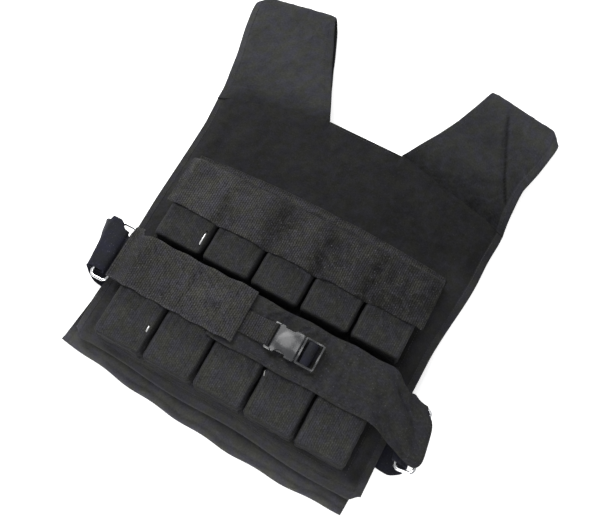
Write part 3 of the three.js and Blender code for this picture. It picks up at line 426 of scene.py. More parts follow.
# %% The weaves and the wear, as node groups
def plain_weave_group():
    """Over one thread, under the next: thread pitch in metres, height from 0 to 1."""
    group, given, made = new_group(
        "plain_weave",
        [("Vector", "NodeSocketVector", None), ("Pitch", "NodeSocketFloat", 0.0009)],
        [("Height", "NodeSocketFloat"), ("Thread", "NodeSocketFloat")],
    )
    split = group.nodes.new("ShaderNodeSeparateXYZ")
    group.links.new(given.outputs["Vector"], split.inputs[0])
    turns = math_node(group, "DIVIDE", math.pi, given.outputs["Pitch"])
    along = math_node(group, "MULTIPLY", split.outputs["X"], turns)
    across = math_node(group, "MULTIPLY", split.outputs["Y"], turns)
    product = math_node(group, "MULTIPLY", math_node(group, "SINE", along), math_node(group, "SINE", across))
    slub = noise_node(group, given.outputs["Vector"], 480.0, 2.0)
    height = math_node(group, "MULTIPLY", math_node(group, "ABSOLUTE", product), slub)
    group.links.new(height, made.inputs["Height"])
    group.links.new(map_range(group, slub, 0.3, 0.7), made.inputs["Thread"])
    return group


def ribbed_weave_group():
    """Webbing: fat ribs across the band, each broken by the warp threads that pass over it."""
    group, given, made = new_group(
        "ribbed_weave",
        [("Vector", "NodeSocketVector", None), ("Pitch", "NodeSocketFloat", 0.002),
         ("Uneven", "NodeSocketFloat", 0.5)],
        [("Height", "NodeSocketFloat"), ("Thread", "NodeSocketFloat")],
    )
    split = group.nodes.new("ShaderNodeSeparateXYZ")
    group.links.new(given.outputs["Vector"], split.inputs[0])
    drift = noise_node(group, given.outputs["Vector"], 70.0, 1.0)
    turns = math_node(group, "DIVIDE", math.pi, given.outputs["Pitch"])
    wander = math_node(group, "MULTIPLY_ADD", drift, 3.0, -1.5)
    rib_phase = math_node(group, "MULTIPLY_ADD", split.outputs["X"], turns, wander)
    rib_row = math_node(group, "FLOOR", math_node(group, "DIVIDE", rib_phase, math.pi))
    warp_phase = math_node(group, "MULTIPLY", split.outputs["Y"], math_node(group, "MULTIPLY", turns, 0.8))
    staggered = math_node(group, "MULTIPLY_ADD", rib_row, math.pi / 2, warp_phase)
    rib = math_node(group, "ABSOLUTE", math_node(group, "SINE", rib_phase))
    warp = math_node(group, "ABSOLUTE", math_node(group, "SINE", staggered))
    crown = math_node(group, "MULTIPLY", rib, math_node(group, "MULTIPLY_ADD", warp, 0.6, 0.4))
    tufts = noise_node(group, given.outputs["Vector"], 380.0, 2.0)
    loose = math_node(group, "MULTIPLY_ADD", tufts, 2.0, -0.5)
    mixed = group.nodes.new("ShaderNodeMix")
    group.links.new(given.outputs["Uneven"], mixed.inputs["Factor"])
    group.links.new(crown, mixed.inputs["A"])
    group.links.new(loose, mixed.inputs["B"])
    group.links.new(mixed.outputs["Result"], made.inputs["Height"])
    group.links.new(mixed.outputs["Result"], made.inputs["Thread"])
    return group


def cloth_wear_group():
    """Uneven dye in broad patches, fine dust, a drift from olive to violet, and single specks of lint."""
    group, given, made = new_group(
        "cloth_wear",
        [("Vector", "NodeSocketVector", None), ("Patch Scale", "NodeSocketFloat", 30.0),
         ("Lint", "NodeSocketFloat", 0.5)],
        [("Shade", "NodeSocketFloat"), ("Tint", "NodeSocketFloat"), ("Specks", "NodeSocketFloat")],
    )
    place = given.outputs["Vector"]
    broad = map_range(group, noise_node(group, place, given.outputs["Patch Scale"], 3.0, 0.6), 0.3, 0.7)
    middle = map_range(group, noise_node(group, place, 150.0, 2.0), 0.3, 0.7)
    fine = map_range(group, noise_node(group, place, 520.0, 2.0), 0.3, 0.7)
    shade = math_node(group, "MULTIPLY_ADD", broad, 0.4, math_node(group, "MULTIPLY", middle, 0.25))
    shade = math_node(group, "MULTIPLY_ADD", fine, 0.35, shade)
    tint = map_range(group, noise_node(group, place, 75.0, 2.0), 0.38, 0.62)
    specks = map_range(group, noise_node(group, place, 640.0, 0.0), 0.74, 0.8)
    group.links.new(shade, made.inputs["Shade"])
    group.links.new(tint, made.inputs["Tint"])
    group.links.new(math_node(group, "MULTIPLY", specks, given.outputs["Lint"]), made.inputs["Specks"])
    return group


PLAIN_WEAVE = plain_weave_group()
RIBBED_WEAVE = ribbed_weave_group()
CLOTH_WEAR = cloth_wear_group()
print("node groups:", [g.name for g in bpy.data.node_groups])

# %% [markdown]
# ## Cloth finishes
# All cloths of the vest follow one recipe with their own numbers: the weave, how dark the dye is, how much
# the threads show, and how patchy and linty the cloth has become. One function makes them all, so they stay
# one family. Each cloth mesh also carries a painted value that makes single places paler or darker: painted
# light on the hem and on raised cloth, painted shade on walls, in creases and under the belt, and uneven
# tone.
# A mask could be painted by hand instead, but here the value comes from the same formulas as the folds, so
# the painted light lies where the folds stand up and the painted shade in their hollows.
# %% Cloth finishes
BASE = {m["slot"]: m["base_color"] for m in frame["record"]["materials"]}


def add_group(tree, group, values, vector):
    node = tree.nodes.new("ShaderNodeGroup")
    node.node_tree = group
    for label, value in values.items():
        node.inputs[label].default_value = value
    tree.links.new(vector, node.inputs["Vector"])
    return node


def mix_colour(tree, factor, first, second):
    node = tree.nodes.new("ShaderNodeMix")
    node.data_type = "RGBA"
    node.clamp_factor = True
    for label, value in (("Factor", factor), ("A", first), ("B", second)):
        feed(tree, node.inputs[label], value)
    return node.outputs["Result"]


def cloth_finish(slot, weave, weave_values, tone, grain, bump_mm, patchy=0.7, lint=0.4):
    """A woven cloth: the slot's own black, patchy and linty, and paler or darker where light and shade are
    painted.
    """
    material = bpy.data.materials.new(slot)
    material.use_nodes = True
    tree = material.node_tree
    shader = tree.nodes["Principled BSDF"]
    place = tree.nodes.new("ShaderNodeUVMap").outputs["UV"]
    weave_node = add_group(tree, weave, weave_values, place)
    wear = add_group(tree, CLOTH_WEAR, {"Lint": lint}, place)
    painted_light_attribute = tree.nodes.new("ShaderNodeAttribute")
    painted_light_attribute.attribute_name = "tone_and_painted_light"
    red, green, blue = (tone * c for c in BASE[slot])
    olive = (1.09 * red, 1.06 * green, 0.82 * blue)
    violet = (1.01 * red, 0.96 * green, 1.02 * blue)
    dyed = mix_colour(tree, wear.outputs["Tint"], olive, violet)
    patches = math_node(tree, "MULTIPLY_ADD", wear.outputs["Shade"], patchy, 1 - patchy / 2)
    # The mesh's painted light and shade raise or lower the level here.
    level = math_node(tree, "ADD", patches, painted_light_attribute.outputs["Fac"])
    threads = math_node(tree, "MULTIPLY_ADD", weave_node.outputs["Thread"], grain, 1 - grain / 2)
    brightness = math_node(tree, "MAXIMUM", math_node(tree, "MULTIPLY", level, threads), 0.15)
    scaled = tree.nodes.new("ShaderNodeVectorMath")
    scaled.operation = "SCALE"
    tree.links.new(dyed, scaled.inputs[0])
    tree.links.new(brightness, scaled.inputs["Scale"])
    linted = mix_colour(tree, wear.outputs["Specks"], scaled.outputs[0], (0.11, 0.11, 0.12))
    tree.links.new(linted, shader.inputs["Base Color"])
    bump = tree.nodes.new("ShaderNodeBump")
    bump.inputs["Strength"].default_value = 1.0
    bump.inputs["Distance"].default_value = bump_mm * MM
    tree.links.new(weave_node.outputs["Height"], bump.inputs["Height"])
    tree.links.new(bump.outputs["Normal"], shader.inputs["Normal"])
    shader.inputs["Roughness"].default_value = 0.9
    shader.inputs["Specular IOR Level"].default_value = 0.12
    shader.inputs["Sheen Weight"].default_value = 0.05
    shader.inputs["Sheen Roughness"].default_value = 0.5
    shader.inputs["Sheen Tint"].default_value = (0.5, 0.5, 0.55, 1)
    return material


CANVAS = cloth_finish("body_canvas", PLAIN_WEAVE, {"Pitch": 0.0009},
                      tone=0.62, grain=0.35, bump_mm=0.16, patchy=0.8, lint=0.12)
STRAP_CLOTH = cloth_finish("strap_canvas", PLAIN_WEAVE, {"Pitch": 0.0009},
                           tone=0.52, grain=0.35, bump_mm=0.16, patchy=0.9, lint=0.12)
POUCH_CLOTH = cloth_finish("pocket_canvas", RIBBED_WEAVE, {"Pitch": 0.0024, "Uneven": 0.5},
                           tone=0.8, grain=1.2, bump_mm=0.3)
BELT_CLOTH = cloth_finish("belt_canvas", RIBBED_WEAVE, {"Pitch": 0.0016, "Uneven": 0.6},
                          tone=0.78, grain=0.9, bump_mm=0.22)
WEBBING = cloth_finish("coarse_webbing", RIBBED_WEAVE, {"Pitch": 0.0026, "Uneven": 0.42},
                       tone=0.6, grain=1.75, bump_mm=0.6, patchy=0.9, lint=0.6)
DARK_WEBBING = cloth_finish("dark_webbing", RIBBED_WEAVE, {"Pitch": 0.0015, "Uneven": 0.4},
                            tone=1.1, grain=0.5, bump_mm=0.2)
print("cloth finishes:", [m.name for m in bpy.data.materials])

# %% [markdown]
# ## Hard finishes
# The ingots are plain steel, the rings are nickel-plated wire, and the buckle is glossy moulded plastic. One
# flat tone would look like a toy. Real ones have fine scratches, and their faces wave a little, so that
# reflections bend. Modelled dents would cost many faces, so noise feeds two Bump nodes instead: one fine and
# one broad.
# %% Hard finishes
def hard_finish(slot, roughness, metallic, scratch, coat=0.0, low_tone=0.8, wavy_mm=0.05):
    """Plastic or metal: fine scratches and a slightly uneven surface, in the place of one flat tone."""
    material = bpy.data.materials.new(slot)
    material.use_nodes = True
    tree = material.node_tree
    shader = tree.nodes["Principled BSDF"]
    place = tree.nodes.new("ShaderNodeTexCoord").outputs["Object"]
    smear = noise_node(tree, place, 90.0, 3.0)
    fine = noise_node(tree, place, 1400.0, 2.0)
    dull = tuple(low_tone * c for c in BASE[slot])
    tone = mix_colour(tree, map_range(tree, smear, 0.35, 0.65), dull, BASE[slot])
    tree.links.new(tone, shader.inputs["Base Color"])
    rough = map_range(tree, math_node(tree, "ADD", smear, fine), 0.7, 1.3, roughness * 0.8, roughness * 1.3)
    tree.links.new(rough, shader.inputs["Roughness"])
    bump = tree.nodes.new("ShaderNodeBump")
    bump.inputs["Strength"].default_value = scratch
    bump.inputs["Distance"].default_value = 0.05 * MM
    tree.links.new(fine, bump.inputs["Height"])
    wave = tree.nodes.new("ShaderNodeBump")
    wave.inputs["Strength"].default_value = 1.0
    wave.inputs["Distance"].default_value = wavy_mm * MM
    tree.links.new(noise_node(tree, place, 55.0, 0.0), wave.inputs["Height"])
    tree.links.new(wave.outputs["Normal"], bump.inputs["Normal"])
    tree.links.new(bump.outputs["Normal"], shader.inputs["Normal"])
    shader.inputs["Metallic"].default_value = metallic
    shader.inputs["Coat Weight"].default_value = coat
    return material


STEEL = hard_finish("weight_steel", roughness=0.42, metallic=0.85, scratch=0.4)
NICKEL = hard_finish("ring_metal", roughness=0.14, metallic=1.0, scratch=0.1, low_tone=0.9)
PLASTIC = hard_finish("buckle_plastic", roughness=0.17, metallic=0.0, scratch=0.25, coat=0.5, wavy_mm=2.6)
print("hard finishes:", [m.name for m in (STEEL, NICKEL, PLASTIC)])


# %% [markdown]
# ## Body outline
# The front and back are cut to one pattern: straight sides, a square neckline, and armholes that bow out
# over the shoulders. The pattern is a short table of shares, rounded into a curve, as a cutter would draw it.
# A vest that was laid down by hand is not quite even: the side at +X is stretched outward beside the chest,
# so a small function moves the cloth there.
# %% The pattern
SHOULDER_Y = 329
NECKLINE_Y = 192
NECK_HALF_WIDTH = 50
SHOULDER_INNER_X = 114
SEAM_OUTER_Y = 155
SIDE_TABLE = [
    {"rise": -0.7, "reach": 1.0}, {"rise": -0.425, "reach": 0.992}, {"rise": -0.18, "reach": 1.0},
    {"rise": 0, "reach": 1.006}, {"rise": 0.243, "reach": 1.0}, {"rise": 0.359, "reach": 1.0},
    {"rise": 0.471, "reach": 1.018}, {"rise": 0.578, "reach": 1.034}, {"rise": 0.669, "reach": 1.06},
    {"rise": 0.79, "reach": 1.115}, {"rise": 0.88, "reach": 1.145}, {"rise": 1.02, "reach": 1.15},
]
NECK_TABLE = [
    {"rise": -0.05, "reach": -0.07}, {"rise": 0, "reach": 0}, {"rise": 0.168, "reach": 0.2},
    {"rise": 0.358, "reach": 0.44}, {"rise": 0.555, "reach": 0.65}, {"rise": 0.774, "reach": 0.83},
    {"rise": 1.04, "reach": 1.03},
]
NECK_SPAN = SHOULDER_Y - NECKLINE_Y
NECK_SPREAD = SHOULDER_INNER_X - NECK_HALF_WIDTH
side_x = soft_curve([r["rise"] * SHOULDER_Y for r in SIDE_TABLE],
                    [r["reach"] * HALF_WIDTH for r in SIDE_TABLE], soften=14)
neck_x = soft_curve([NECKLINE_Y + r["rise"] * NECK_SPAN for r in NECK_TABLE],
                    [NECK_HALF_WIDTH + r["reach"] * NECK_SPREAD for r in NECK_TABLE], soften=6)
NECK_SHARE = NECK_HALF_WIDTH / float(side_x(NECKLINE_Y))
SIDE_PULL = 12
PULL_START_Y = -25
PULL_FULL_Y = 95
PULL_FADE_Y = 140
PULL_END_Y = 235
NO_BORDER = 99


def pulled_out(x, y):
    """The side at +X is stretched outward a little beside the chest."""
    grows = smooth((y - PULL_START_Y) / (PULL_FULL_Y - PULL_START_Y))
    fades = smooth((PULL_END_Y - y) / (PULL_END_Y - PULL_FADE_Y))
    return x + SIDE_PULL * grows * fades * smooth(x / HALF_WIDTH)


def seam_y(across):
    past_neck = np.clip((np.abs(across) - NECK_SHARE) / (1 - NECK_SHARE), 0, 1)
    return NECKLINE_Y + (SEAM_OUTER_Y - NECKLINE_Y) * past_neck


def neck_distance(across, y):
    """How far a spot lies below the neckline. Beside the neck the straps go on, so no border is near."""
    return np.where(np.abs(across) <= NECK_SHARE * 1.01, NECKLINE_Y - y, NO_BORDER)


print("side at the pouch rows", round(float(side_x(UPPER_EDGE_Y))),
      "and at the shoulder", round(float(side_x(SHOULDER_Y))))

# %% [markdown]
# ## Front panel
# Two layers of canvas with thin foam between them, bound along the sides. It is a padded piece, so the
# faces bulge and the borders thin. Cloth simulation suits loose cushions, but this panel is held flat by
# its many seams, so its few real creases are drawn as lines and the rest is a low swell. Light is painted
# on the cloth along the hem, which is paler, and the binding tape is paler too.
# %% Front panel
FOAM_THICK = 7.6
EDGE_THICK = 4.4
EDGE_BAND = 26
EDGE_SAG = 5.5
BINDING = 9
HEM_DROP = 2.6
HEM_SEAM = 11
POUCH_SEAM_Y = LOWER_EDGE_Y - 6.5
POUCH_TOP_Y = 62
BORDER_STEPS = [0, 0.3, 0.9, 1.8, 3, 5, 7, 8.4, 9.2, 10.2, 12]
FRONT_CREASES = [
    {"start": (22, 142), "end": (156, 80), "width": 6, "height": -1.9, "bow": 5},
    {"start": (64, 134), "end": (140, 88), "width": 4.5, "height": 1.5, "bow": 4},
    {"start": (60, 178), "end": (150, 112), "width": 9, "height": 1.4, "bow": 6},
    {"start": (128, 112), "end": (192, 104), "width": 5, "height": 1.4},
    {"start": (96, 100), "end": (176, 96), "width": 5, "height": -1.2, "bow": 3},
    {"start": (-142, 170), "end": (-58, 184), "width": 4.5, "height": -1.5, "bow": 4},
    {"start": (-128, 158), "end": (-40, 176), "width": 5, "height": 1.4, "bow": 3},
    {"start": (-104, 146), "end": (-20, 178), "width": 4.5, "height": -1.1, "bow": -3},
    {"start": (-150, 118), "end": (-60, 150), "width": 10, "height": 1.1},
    {"start": (-166, -136), "end": (-159, -190), "width": 3, "height": 1.5, "bow": 2},
    {"start": (-173, -140), "end": (-168, -186), "width": 3, "height": -1.4, "bow": 2},
    {"start": (-151, -192), "end": (-92, -199), "width": 3, "height": 1.1, "bow": 2},
    {"start": (-120, -199), "end": (30, -203), "width": 2.6, "height": -1.2, "bow": -1},
    {"start": (20, -196), "end": (150, -201), "width": 2.6, "height": 1.2, "bow": 1},
    {"start": (176, -120), "end": (168, -190), "width": 4, "height": -1.8, "bow": 2},
    {"start": (168, -110), "end": (163, -186), "width": 3.4, "height": 1.5, "bow": 2},
]


def binding_step(distance):
    """The folded tape along a border stands proud, with a groove at its stitched edge."""
    proud = 0.55 * (1 - smooth((distance - BINDING + 0.8) / 1.2))
    groove = 0.5 * bell(distance - BINDING - 0.4, 0.9)
    return proud - groove


def front_hem_y(across):
    level = 13 + 14 * (across + 1) / 2
    wave = 1.6 * np.sin(across * 7.1 + 0.4)
    corner = 9 * smooth((np.abs(across) - 0.93) / 0.07)
    return LOWER_EDGE_Y - level + wave + corner


def front_panel():
    across = spread(-HALF_WIDTH, HALF_WIDTH, BORDER_STEPS, 150) / HALF_WIDTH
    y = spread(front_hem_y(across), seam_y(across) - SEAM_GAP / 2, BORDER_STEPS, 130).T
    across = np.broadcast_to(across, y.shape)
    x = across * side_x(y)
    side = side_x(y) - np.abs(x)
    x = pulled_out(x, y)
    hem = y - front_hem_y(across)
    neck = neck_distance(across, y)
    share = smooth(np.minimum(side, hem) / EDGE_BAND)
    full = np.minimum(share, smooth(neck / EDGE_BAND))
    thick = EDGE_THICK + (FOAM_THICK - EDGE_THICK) * full
    low = PANEL_TOP_Z - FOAM_THICK - EDGE_SAG * (1 - share) - HEM_DROP * (1 - smooth(hem / 20))
    edge = np.minimum(np.minimum(side, hem), neck)
    half = round_edge(edge, thick / 2)
    under_rows = (smooth((ROW_END_X + 3 - np.abs(x)) / 8) * smooth((POUCH_TOP_Y - y) / 8 + 1)
                  * smooth((y - LOWER_EDGE_Y + 8) / 8))
    below_seam = np.where(np.abs(across) > NECK_SHARE, smooth((seam_y(across) - y) / 14), 1)
    loose = (1 - under_rows) * smooth(edge / 12) * below_seam
    relief = creases(x, y, FRONT_CREASES) + 0.5 * swell(x, y, 60, 3) + 0.3 * swell(x, y, 22, 4)
    relief = relief + 0.75 * crumple(x, y, 34, 5)
    ruffle = 0.9 * swell(x * 0.4, y, 18, 8) * (1 - smooth(side / 20)) * smooth(side / 3)
    top_z = low + thick / 2 + half + relief * loose + binding_step(side) * smooth(side / 1.5) + ruffle * 0.6
    hem_row = 0.7 * bell(hem - HEM_SEAM, 1.3)
    pouch_row = 0.8 * bell(y - POUCH_SEAM_Y, 1.6) * smooth((ROW_END_X + 12 - np.abs(x)) / 10)
    top = np.stack([x, y, top_z - (hem_row + pouch_row) * smooth(side / 12)], axis=-1)
    bottom = np.stack([x, y, low + thick / 2 - half], axis=-1)
    # Painted light: the hem is painted paler. The binding strip is paler as well.
    tone_and_painted_light = 0.5 * (1 - smooth((side - 8) / 3)) + 1.1 * (1 - smooth(hem / 28)) + 0.14 * crumple(x, y, 30, 9)
    on_chest = smooth((y - 60) / 50)
    tone_and_painted_light = tone_and_painted_light - 0.22 * on_chest - 0.15 * smooth((x + 20) / 120) * on_chest
    piece = closed_sheet("front_panel_cloth", top, bottom, np.stack([x, y], axis=-1), CANVAS, tone_and_painted_light)
    finish_piece(piece, "body_canvas", "front_panel")
    return top


front_top = front_panel()
print("front panel points", front_top.shape)

# %% [markdown]
# ## Back panel
# The same pattern, a little longer and pushed sideways at the hem, so that a wavy strip of it shows below
# the front. That strip is painted pale, a painted light. The panel lies on the floor and rides over the back
# belt.
# A copy of the front would be quicker, but its hem would not ripple, and it would cut through the belt.
# %% Back panel
BACK_THICK = 8
BACK_BELT_THICK = 2.4
BACK_SHIFT_X = -11
BACK_LEAN_START_Y = -60
ring_left_low, ring_left_high = box_mm("ring_left")
ring_right_low, ring_right_high = box_mm("ring_right")
RING_LEFT = (ring_left_low + ring_left_high) / 2 - ORIGIN
RING_RIGHT = (ring_right_low + ring_right_high) / 2 - ORIGIN
BACK_BELT_LEFT_Y = -86.5
BACK_BELT_RIGHT_Y = -130
BACK_BELT_WIDTH = 58


def back_belt_mid_y(x):
    share = (x - RING_LEFT[0]) / (RING_RIGHT[0] - RING_LEFT[0])
    return BACK_BELT_LEFT_Y + (BACK_BELT_RIGHT_Y - BACK_BELT_LEFT_Y) * share


def back_hem_y(across):
    level = 26 + 17 * smooth((across + 1) / 1.3)
    wave = 1.3 * np.sin(across * 5.3 + 1.2) + 0.9 * np.sin(across * 17 + 0.5)
    return LOWER_EDGE_Y - level + wave - 2 * np.sin(math.pi * (across + 1) / 2)


def back_panel():
    across = spread(-HALF_WIDTH, HALF_WIDTH, BORDER_STEPS, 120) / HALF_WIDTH
    y = spread(back_hem_y(across), seam_y(across) - SEAM_GAP / 2, BORDER_STEPS, 110).T
    across = np.broadcast_to(across, y.shape)
    straight = across * side_x(y)
    lean = np.clip((BACK_LEAN_START_Y - y) / (BACK_LEAN_START_Y - back_hem_y(across)), 0, 1)
    x = pulled_out(straight + BACK_SHIFT_X * lean, y)
    side = side_x(y) - np.abs(straight)
    hem = y - back_hem_y(across)
    edge = np.minimum(np.minimum(side, hem), neck_distance(across, y))
    thick = EDGE_THICK + (BACK_THICK - EDGE_THICK) * smooth(edge / EDGE_BAND)
    half = round_edge(edge, thick / 2)
    away = np.abs(y - back_belt_mid_y(x)) - BACK_BELT_WIDTH / 2
    lift = (BACK_BELT_THICK + 0.35) * (1 - smooth((away - 18) / 18))
    high = np.maximum(thick, lift + thick - 1.2)
    middle = (high + lift) / 2
    hem_wave = 1.5 * swell(x, y * 0.3, 26, 12) * (1 - smooth(hem / 30)) * smooth(hem / 2)
    folds = 1.1 * np.sin(hem / 2.1 + 0.8 * swell(x, y * 0, 50, 13)) * bell(hem - 7, 6)
    stretch = (high - lift) / thick
    relief = binding_step(side) * smooth(side / 1.5) + np.maximum(hem_wave, -0.8) + folds
    top_z = middle + half * stretch + relief
    bottom_z = np.maximum(0, middle - half * stretch)
    top = np.stack([x, y, top_z], axis=-1)
    bottom = np.stack([x, y, bottom_z], axis=-1)
    # Painted light: the strip below the front is painted pale.
    tone_and_painted_light = 2.1 * (1 - smooth(hem / 36)) + 0.35 * crumple(x, y, 24, 14)
    piece = closed_sheet("back_panel_cloth", top, bottom, np.stack([x, y], axis=-1), CANVAS, tone_and_painted_light)
    finish_piece(piece, "body_canvas", "back_panel")
    return top


back_top = back_panel()
print("back panel points", back_top.shape)

# %% [markdown]
# ## Shoulder straps
# A padded band leaves the front at a seam, folds over the shoulder and comes down to the back. It is one
# sheet bent round a half circle, so its thickness stays true in the fold. A curve with a bevel could carry
# it, but then its two edges could not follow the pattern. The straps are not alike: the one at -X is painted
# lighter toward its fold, a painted light, reaches further and is fuller at the neck, and the one at +X has a
# long crease with painted shade in it.
# %% What the two straps differ in
# How much paler each strap is painted toward its shoulder fold is a painted light.
STRAPS = {
    "left": {"sign": -1, "worn": 0.62, "longer": 8, "corner_cut": 9, "fuller_neck": 5, "back_shift": 5},
    "right": {"sign": 1, "worn": 0.28, "longer": 4, "corner_cut": 12, "fuller_neck": 0, "back_shift": 0},
}
STRAP_CREASES = {
    "left": [
        {"start": (-138, 190), "end": (-60, 206), "width": 5, "height": 1.3, "bow": 3},
        {"start": (-186, 196), "end": (-120, 214), "width": 7, "height": -1.3},
        {"start": (-190, 232), "end": (-100, 262), "width": 11, "height": 1.3, "bow": -6},
        {"start": (-196, 262), "end": (-120, 300), "width": 9, "height": -1.1, "bow": 4},
    ],
    "right": [
        {"start": (143, 312), "end": (184, 190), "width": 2.6, "height": -2.0, "bow": -1.5},
        {"start": (150, 306), "end": (192, 196), "width": 6, "height": 0.9, "bow": -1.5},
        {"start": (186, 214), "end": (206, 190), "width": 4, "height": -0.9},
        {"start": (74, 222), "end": (150, 196), "width": 8, "height": 0.7, "bow": 4},
    ],
}
print("drawn creases on the straps:", {side: len(rows) for side, rows in STRAP_CREASES.items()})


LONG_CREASE_Y = [190, 252, 312]
LONG_CREASE_X = [186, 164, 142]


def long_crease_shade_and_light(x, y):
    """Painted shade and light on the strap at +X: painted shade in its long crease and below it, painted
    light at the shoulder's outer corner.
    """
    away = np.abs(x - np.interp(y, LONG_CREASE_Y, LONG_CREASE_X))
    painted_crease_shade = bell(away, 2) * smooth((y - 188) / 12) * smooth((316 - y) / 20)
    return 0.45 * smooth((y + 0.35 * x - 320) / 50) - painted_crease_shade - 0.35 * smooth((250 - y) / 50)


# %% The path of a strap, from the front seam over the fold to the back
STRAP_THICK = 7
STRAP_SLOPE = 0.17
STRAP_FRONT_Z = PANEL_TOP_Z - FOAM_THICK / 2
STRAP_BACK_Z = BACK_THICK / 2
FOLD_RADIUS = (STRAP_FRONT_Z - STRAP_BACK_Z) / 2
FOLD_Z = (STRAP_FRONT_Z + STRAP_BACK_Z) / 2
SEAM_OVERLAP = 0.06
STRAP_MID_Y = 260
STRAP_WEAVE_START = 200


def strap_path(s, width, seam, fold_y):
    """Rows of places y and z, the way out of the cloth there, and how far the row is on the back."""
    rows = []
    for t in spread(0, 1, [0, 0.004, 0.012, 0.025], 80):
        y = seam + (fold_y - seam) * t
        near_seam = 1 - smooth((y - seam) / 60)
        sag = EDGE_SAG * (1 - smooth((1 - s) * width / EDGE_BAND)) * near_seam
        flush = (FOAM_THICK - STRAP_THICK) / 2 * near_seam
        rows.append((y, STRAP_FRONT_Z - sag + flush, 0, 1, 0))
    for turn in np.linspace(0, math.pi, 26)[1:-1]:
        out_y, out_z = math.sin(turn), math.cos(turn)
        y, z = fold_y + FOLD_RADIUS * out_y, FOLD_Z + FOLD_RADIUS * out_z
        rows.append((y, z, out_y, out_z, (1 - out_z) / 2))
    for t in spread(0, 1, [0, 0.025], 60):
        rows.append((fold_y + (seam - fold_y) * t, STRAP_BACK_Z, 0, -1, 1 - float(smooth(t))))
    return (np.concatenate([row[k] + 0.0 * s for row in rows]) for k in range(5))


print("the straps fold round a radius of", round(FOLD_RADIUS, 1), "mm")


# %% Shoulder straps
def shoulder_strap(side):
    style = STRAPS[side]
    sign = style["sign"]
    width = float(side_x(STRAP_MID_Y) - neck_x(STRAP_MID_Y))
    s = (spread(0, width, BORDER_STEPS, 44) / width)[None, :]
    across = NECK_SHARE + (1 - NECK_SHARE) * s
    seam = seam_y(across) - SEAM_GAP / 2 + SEAM_OVERLAP
    top_x = SHOULDER_INNER_X + (side_x(SHOULDER_Y) - SHOULDER_INNER_X) * s
    corner = style["corner_cut"] * smooth((s - 0.86) / 0.14)
    top_y = SHOULDER_Y + style["longer"] - STRAP_SLOPE * (top_x - SHOULDER_INNER_X) - corner
    y, z, normal_y, normal_z, backward = strap_path(s, width, seam, top_y - FOLD_RADIUS - STRAP_THICK / 2)

    rise = np.clip((y - NECKLINE_Y) / NECK_SPAN, 0, 1)
    inner_x = neck_x(y) - style["fuller_neck"] * np.sin(math.pi * rise)
    free_x = inner_x + (side_x(y) - inner_x) * s
    seam_x = np.broadcast_to(across * side_x(seam), y.shape)
    join = smooth((y - seam) / (4 + 36 * smooth(s / 0.3)))
    x = sign * (seam_x + (free_x - seam_x) * join)
    shifted = pulled_out(x, y) + style["back_shift"] * backward

    distance = np.minimum(s, 1 - s) * width
    half = round_edge(distance, STRAP_THICK / 2 * (1 - 0.38 * (1 - smooth(distance / 13))))
    in_front = (normal_z > 0.3) * smooth(normal_z)
    relief = (creases(x, y, STRAP_CREASES[side]) + 0.5 * swell(x, y, 52, 21 + sign)
              + 0.3 * swell(x, y, 19, 31 + sign) + 0.8 * crumple(x, y, 36, 35 + sign))
    relief = relief * smooth((distance + 0 * y) / 9) * in_front * smooth((y - seam) / 14)
    outer = np.broadcast_to((1 - s) * width, y.shape)
    relief = relief + binding_step(outer) * smooth(outer / 1.5) * in_front
    inward = np.broadcast_to(half, y.shape)
    outward = inward + relief
    upper = np.stack([shifted, y + normal_y * outward, np.maximum(0, z + normal_z * outward)], axis=-1)
    lower = np.stack([shifted, y - normal_y * inward, np.maximum(0, z - normal_z * inward)], axis=-1)

    step_y = np.diff(y[:, 20], prepend=y[0, 20])
    step_z = np.diff(z[:, 20], prepend=z[0, 20])
    length = np.cumsum(np.hypot(step_y, step_z))
    uv = np.stack([x, np.broadcast_to(length[:, None] + STRAP_WEAVE_START, x.shape)], axis=-1)
    # Painted light: paler toward the shoulder fold; darker beside the seam; at +X painted shade in the long
    # crease.
    worn = style["worn"] * smooth((y - 168) / 60) - 0.3 * (1 - smooth((y - seam) / 24))
    worn = worn + 0.22 * crumple(x, y, 26, 38 + sign) + (long_crease_shade_and_light(x, y) if side == "right" else 0)
    tone_and_painted_light = (worn + 0.35 * (1 - smooth((outer - 8) / 3))) * in_front
    piece = closed_sheet(f"strap_{side}_cloth", upper, lower, uv, STRAP_CLOTH, tone_and_painted_light)
    finish_piece(piece, "strap_canvas", f"shoulder_strap_{side}")
    print(piece.name, "points", upper.shape)


for strap_side in STRAPS:
    shoulder_strap(strap_side)

# %% [markdown]
# ## Pouches
# Each pouch is one piece of canvas pulled over an ingot and sewn down round it. Its shape is a loft: rounded
# rectangles climb the wall, turn over the edge and close in over the top. A box with a bevel would be
# quicker, but its cloth could not gather at the four corners and slacken towards its seam. The gaps between
# the blocks are narrow and dark, so the faces are nearly as wide as the pouches' feet.
# %% The loft of a pouch
FACE_WIDTH = BLOCK_BASE_WIDTH - 3.8
POUCH_WALL = 1.4
DOME_ROOM = 0.8
POUCH_HEIGHT = BLOCK_TOP_Z - DOME_ROOM - BLOCK_BASE_Z
POUCH_MIDDLE_Y = BLOCK_LENGTH / 2
EDGE_ROUND = 4.8
CORNER_ROUND = 5
QUARTER_TURN = 90
SIDE_POINTS = 22
END_POINTS = 13
CORNER_POINTS = 7


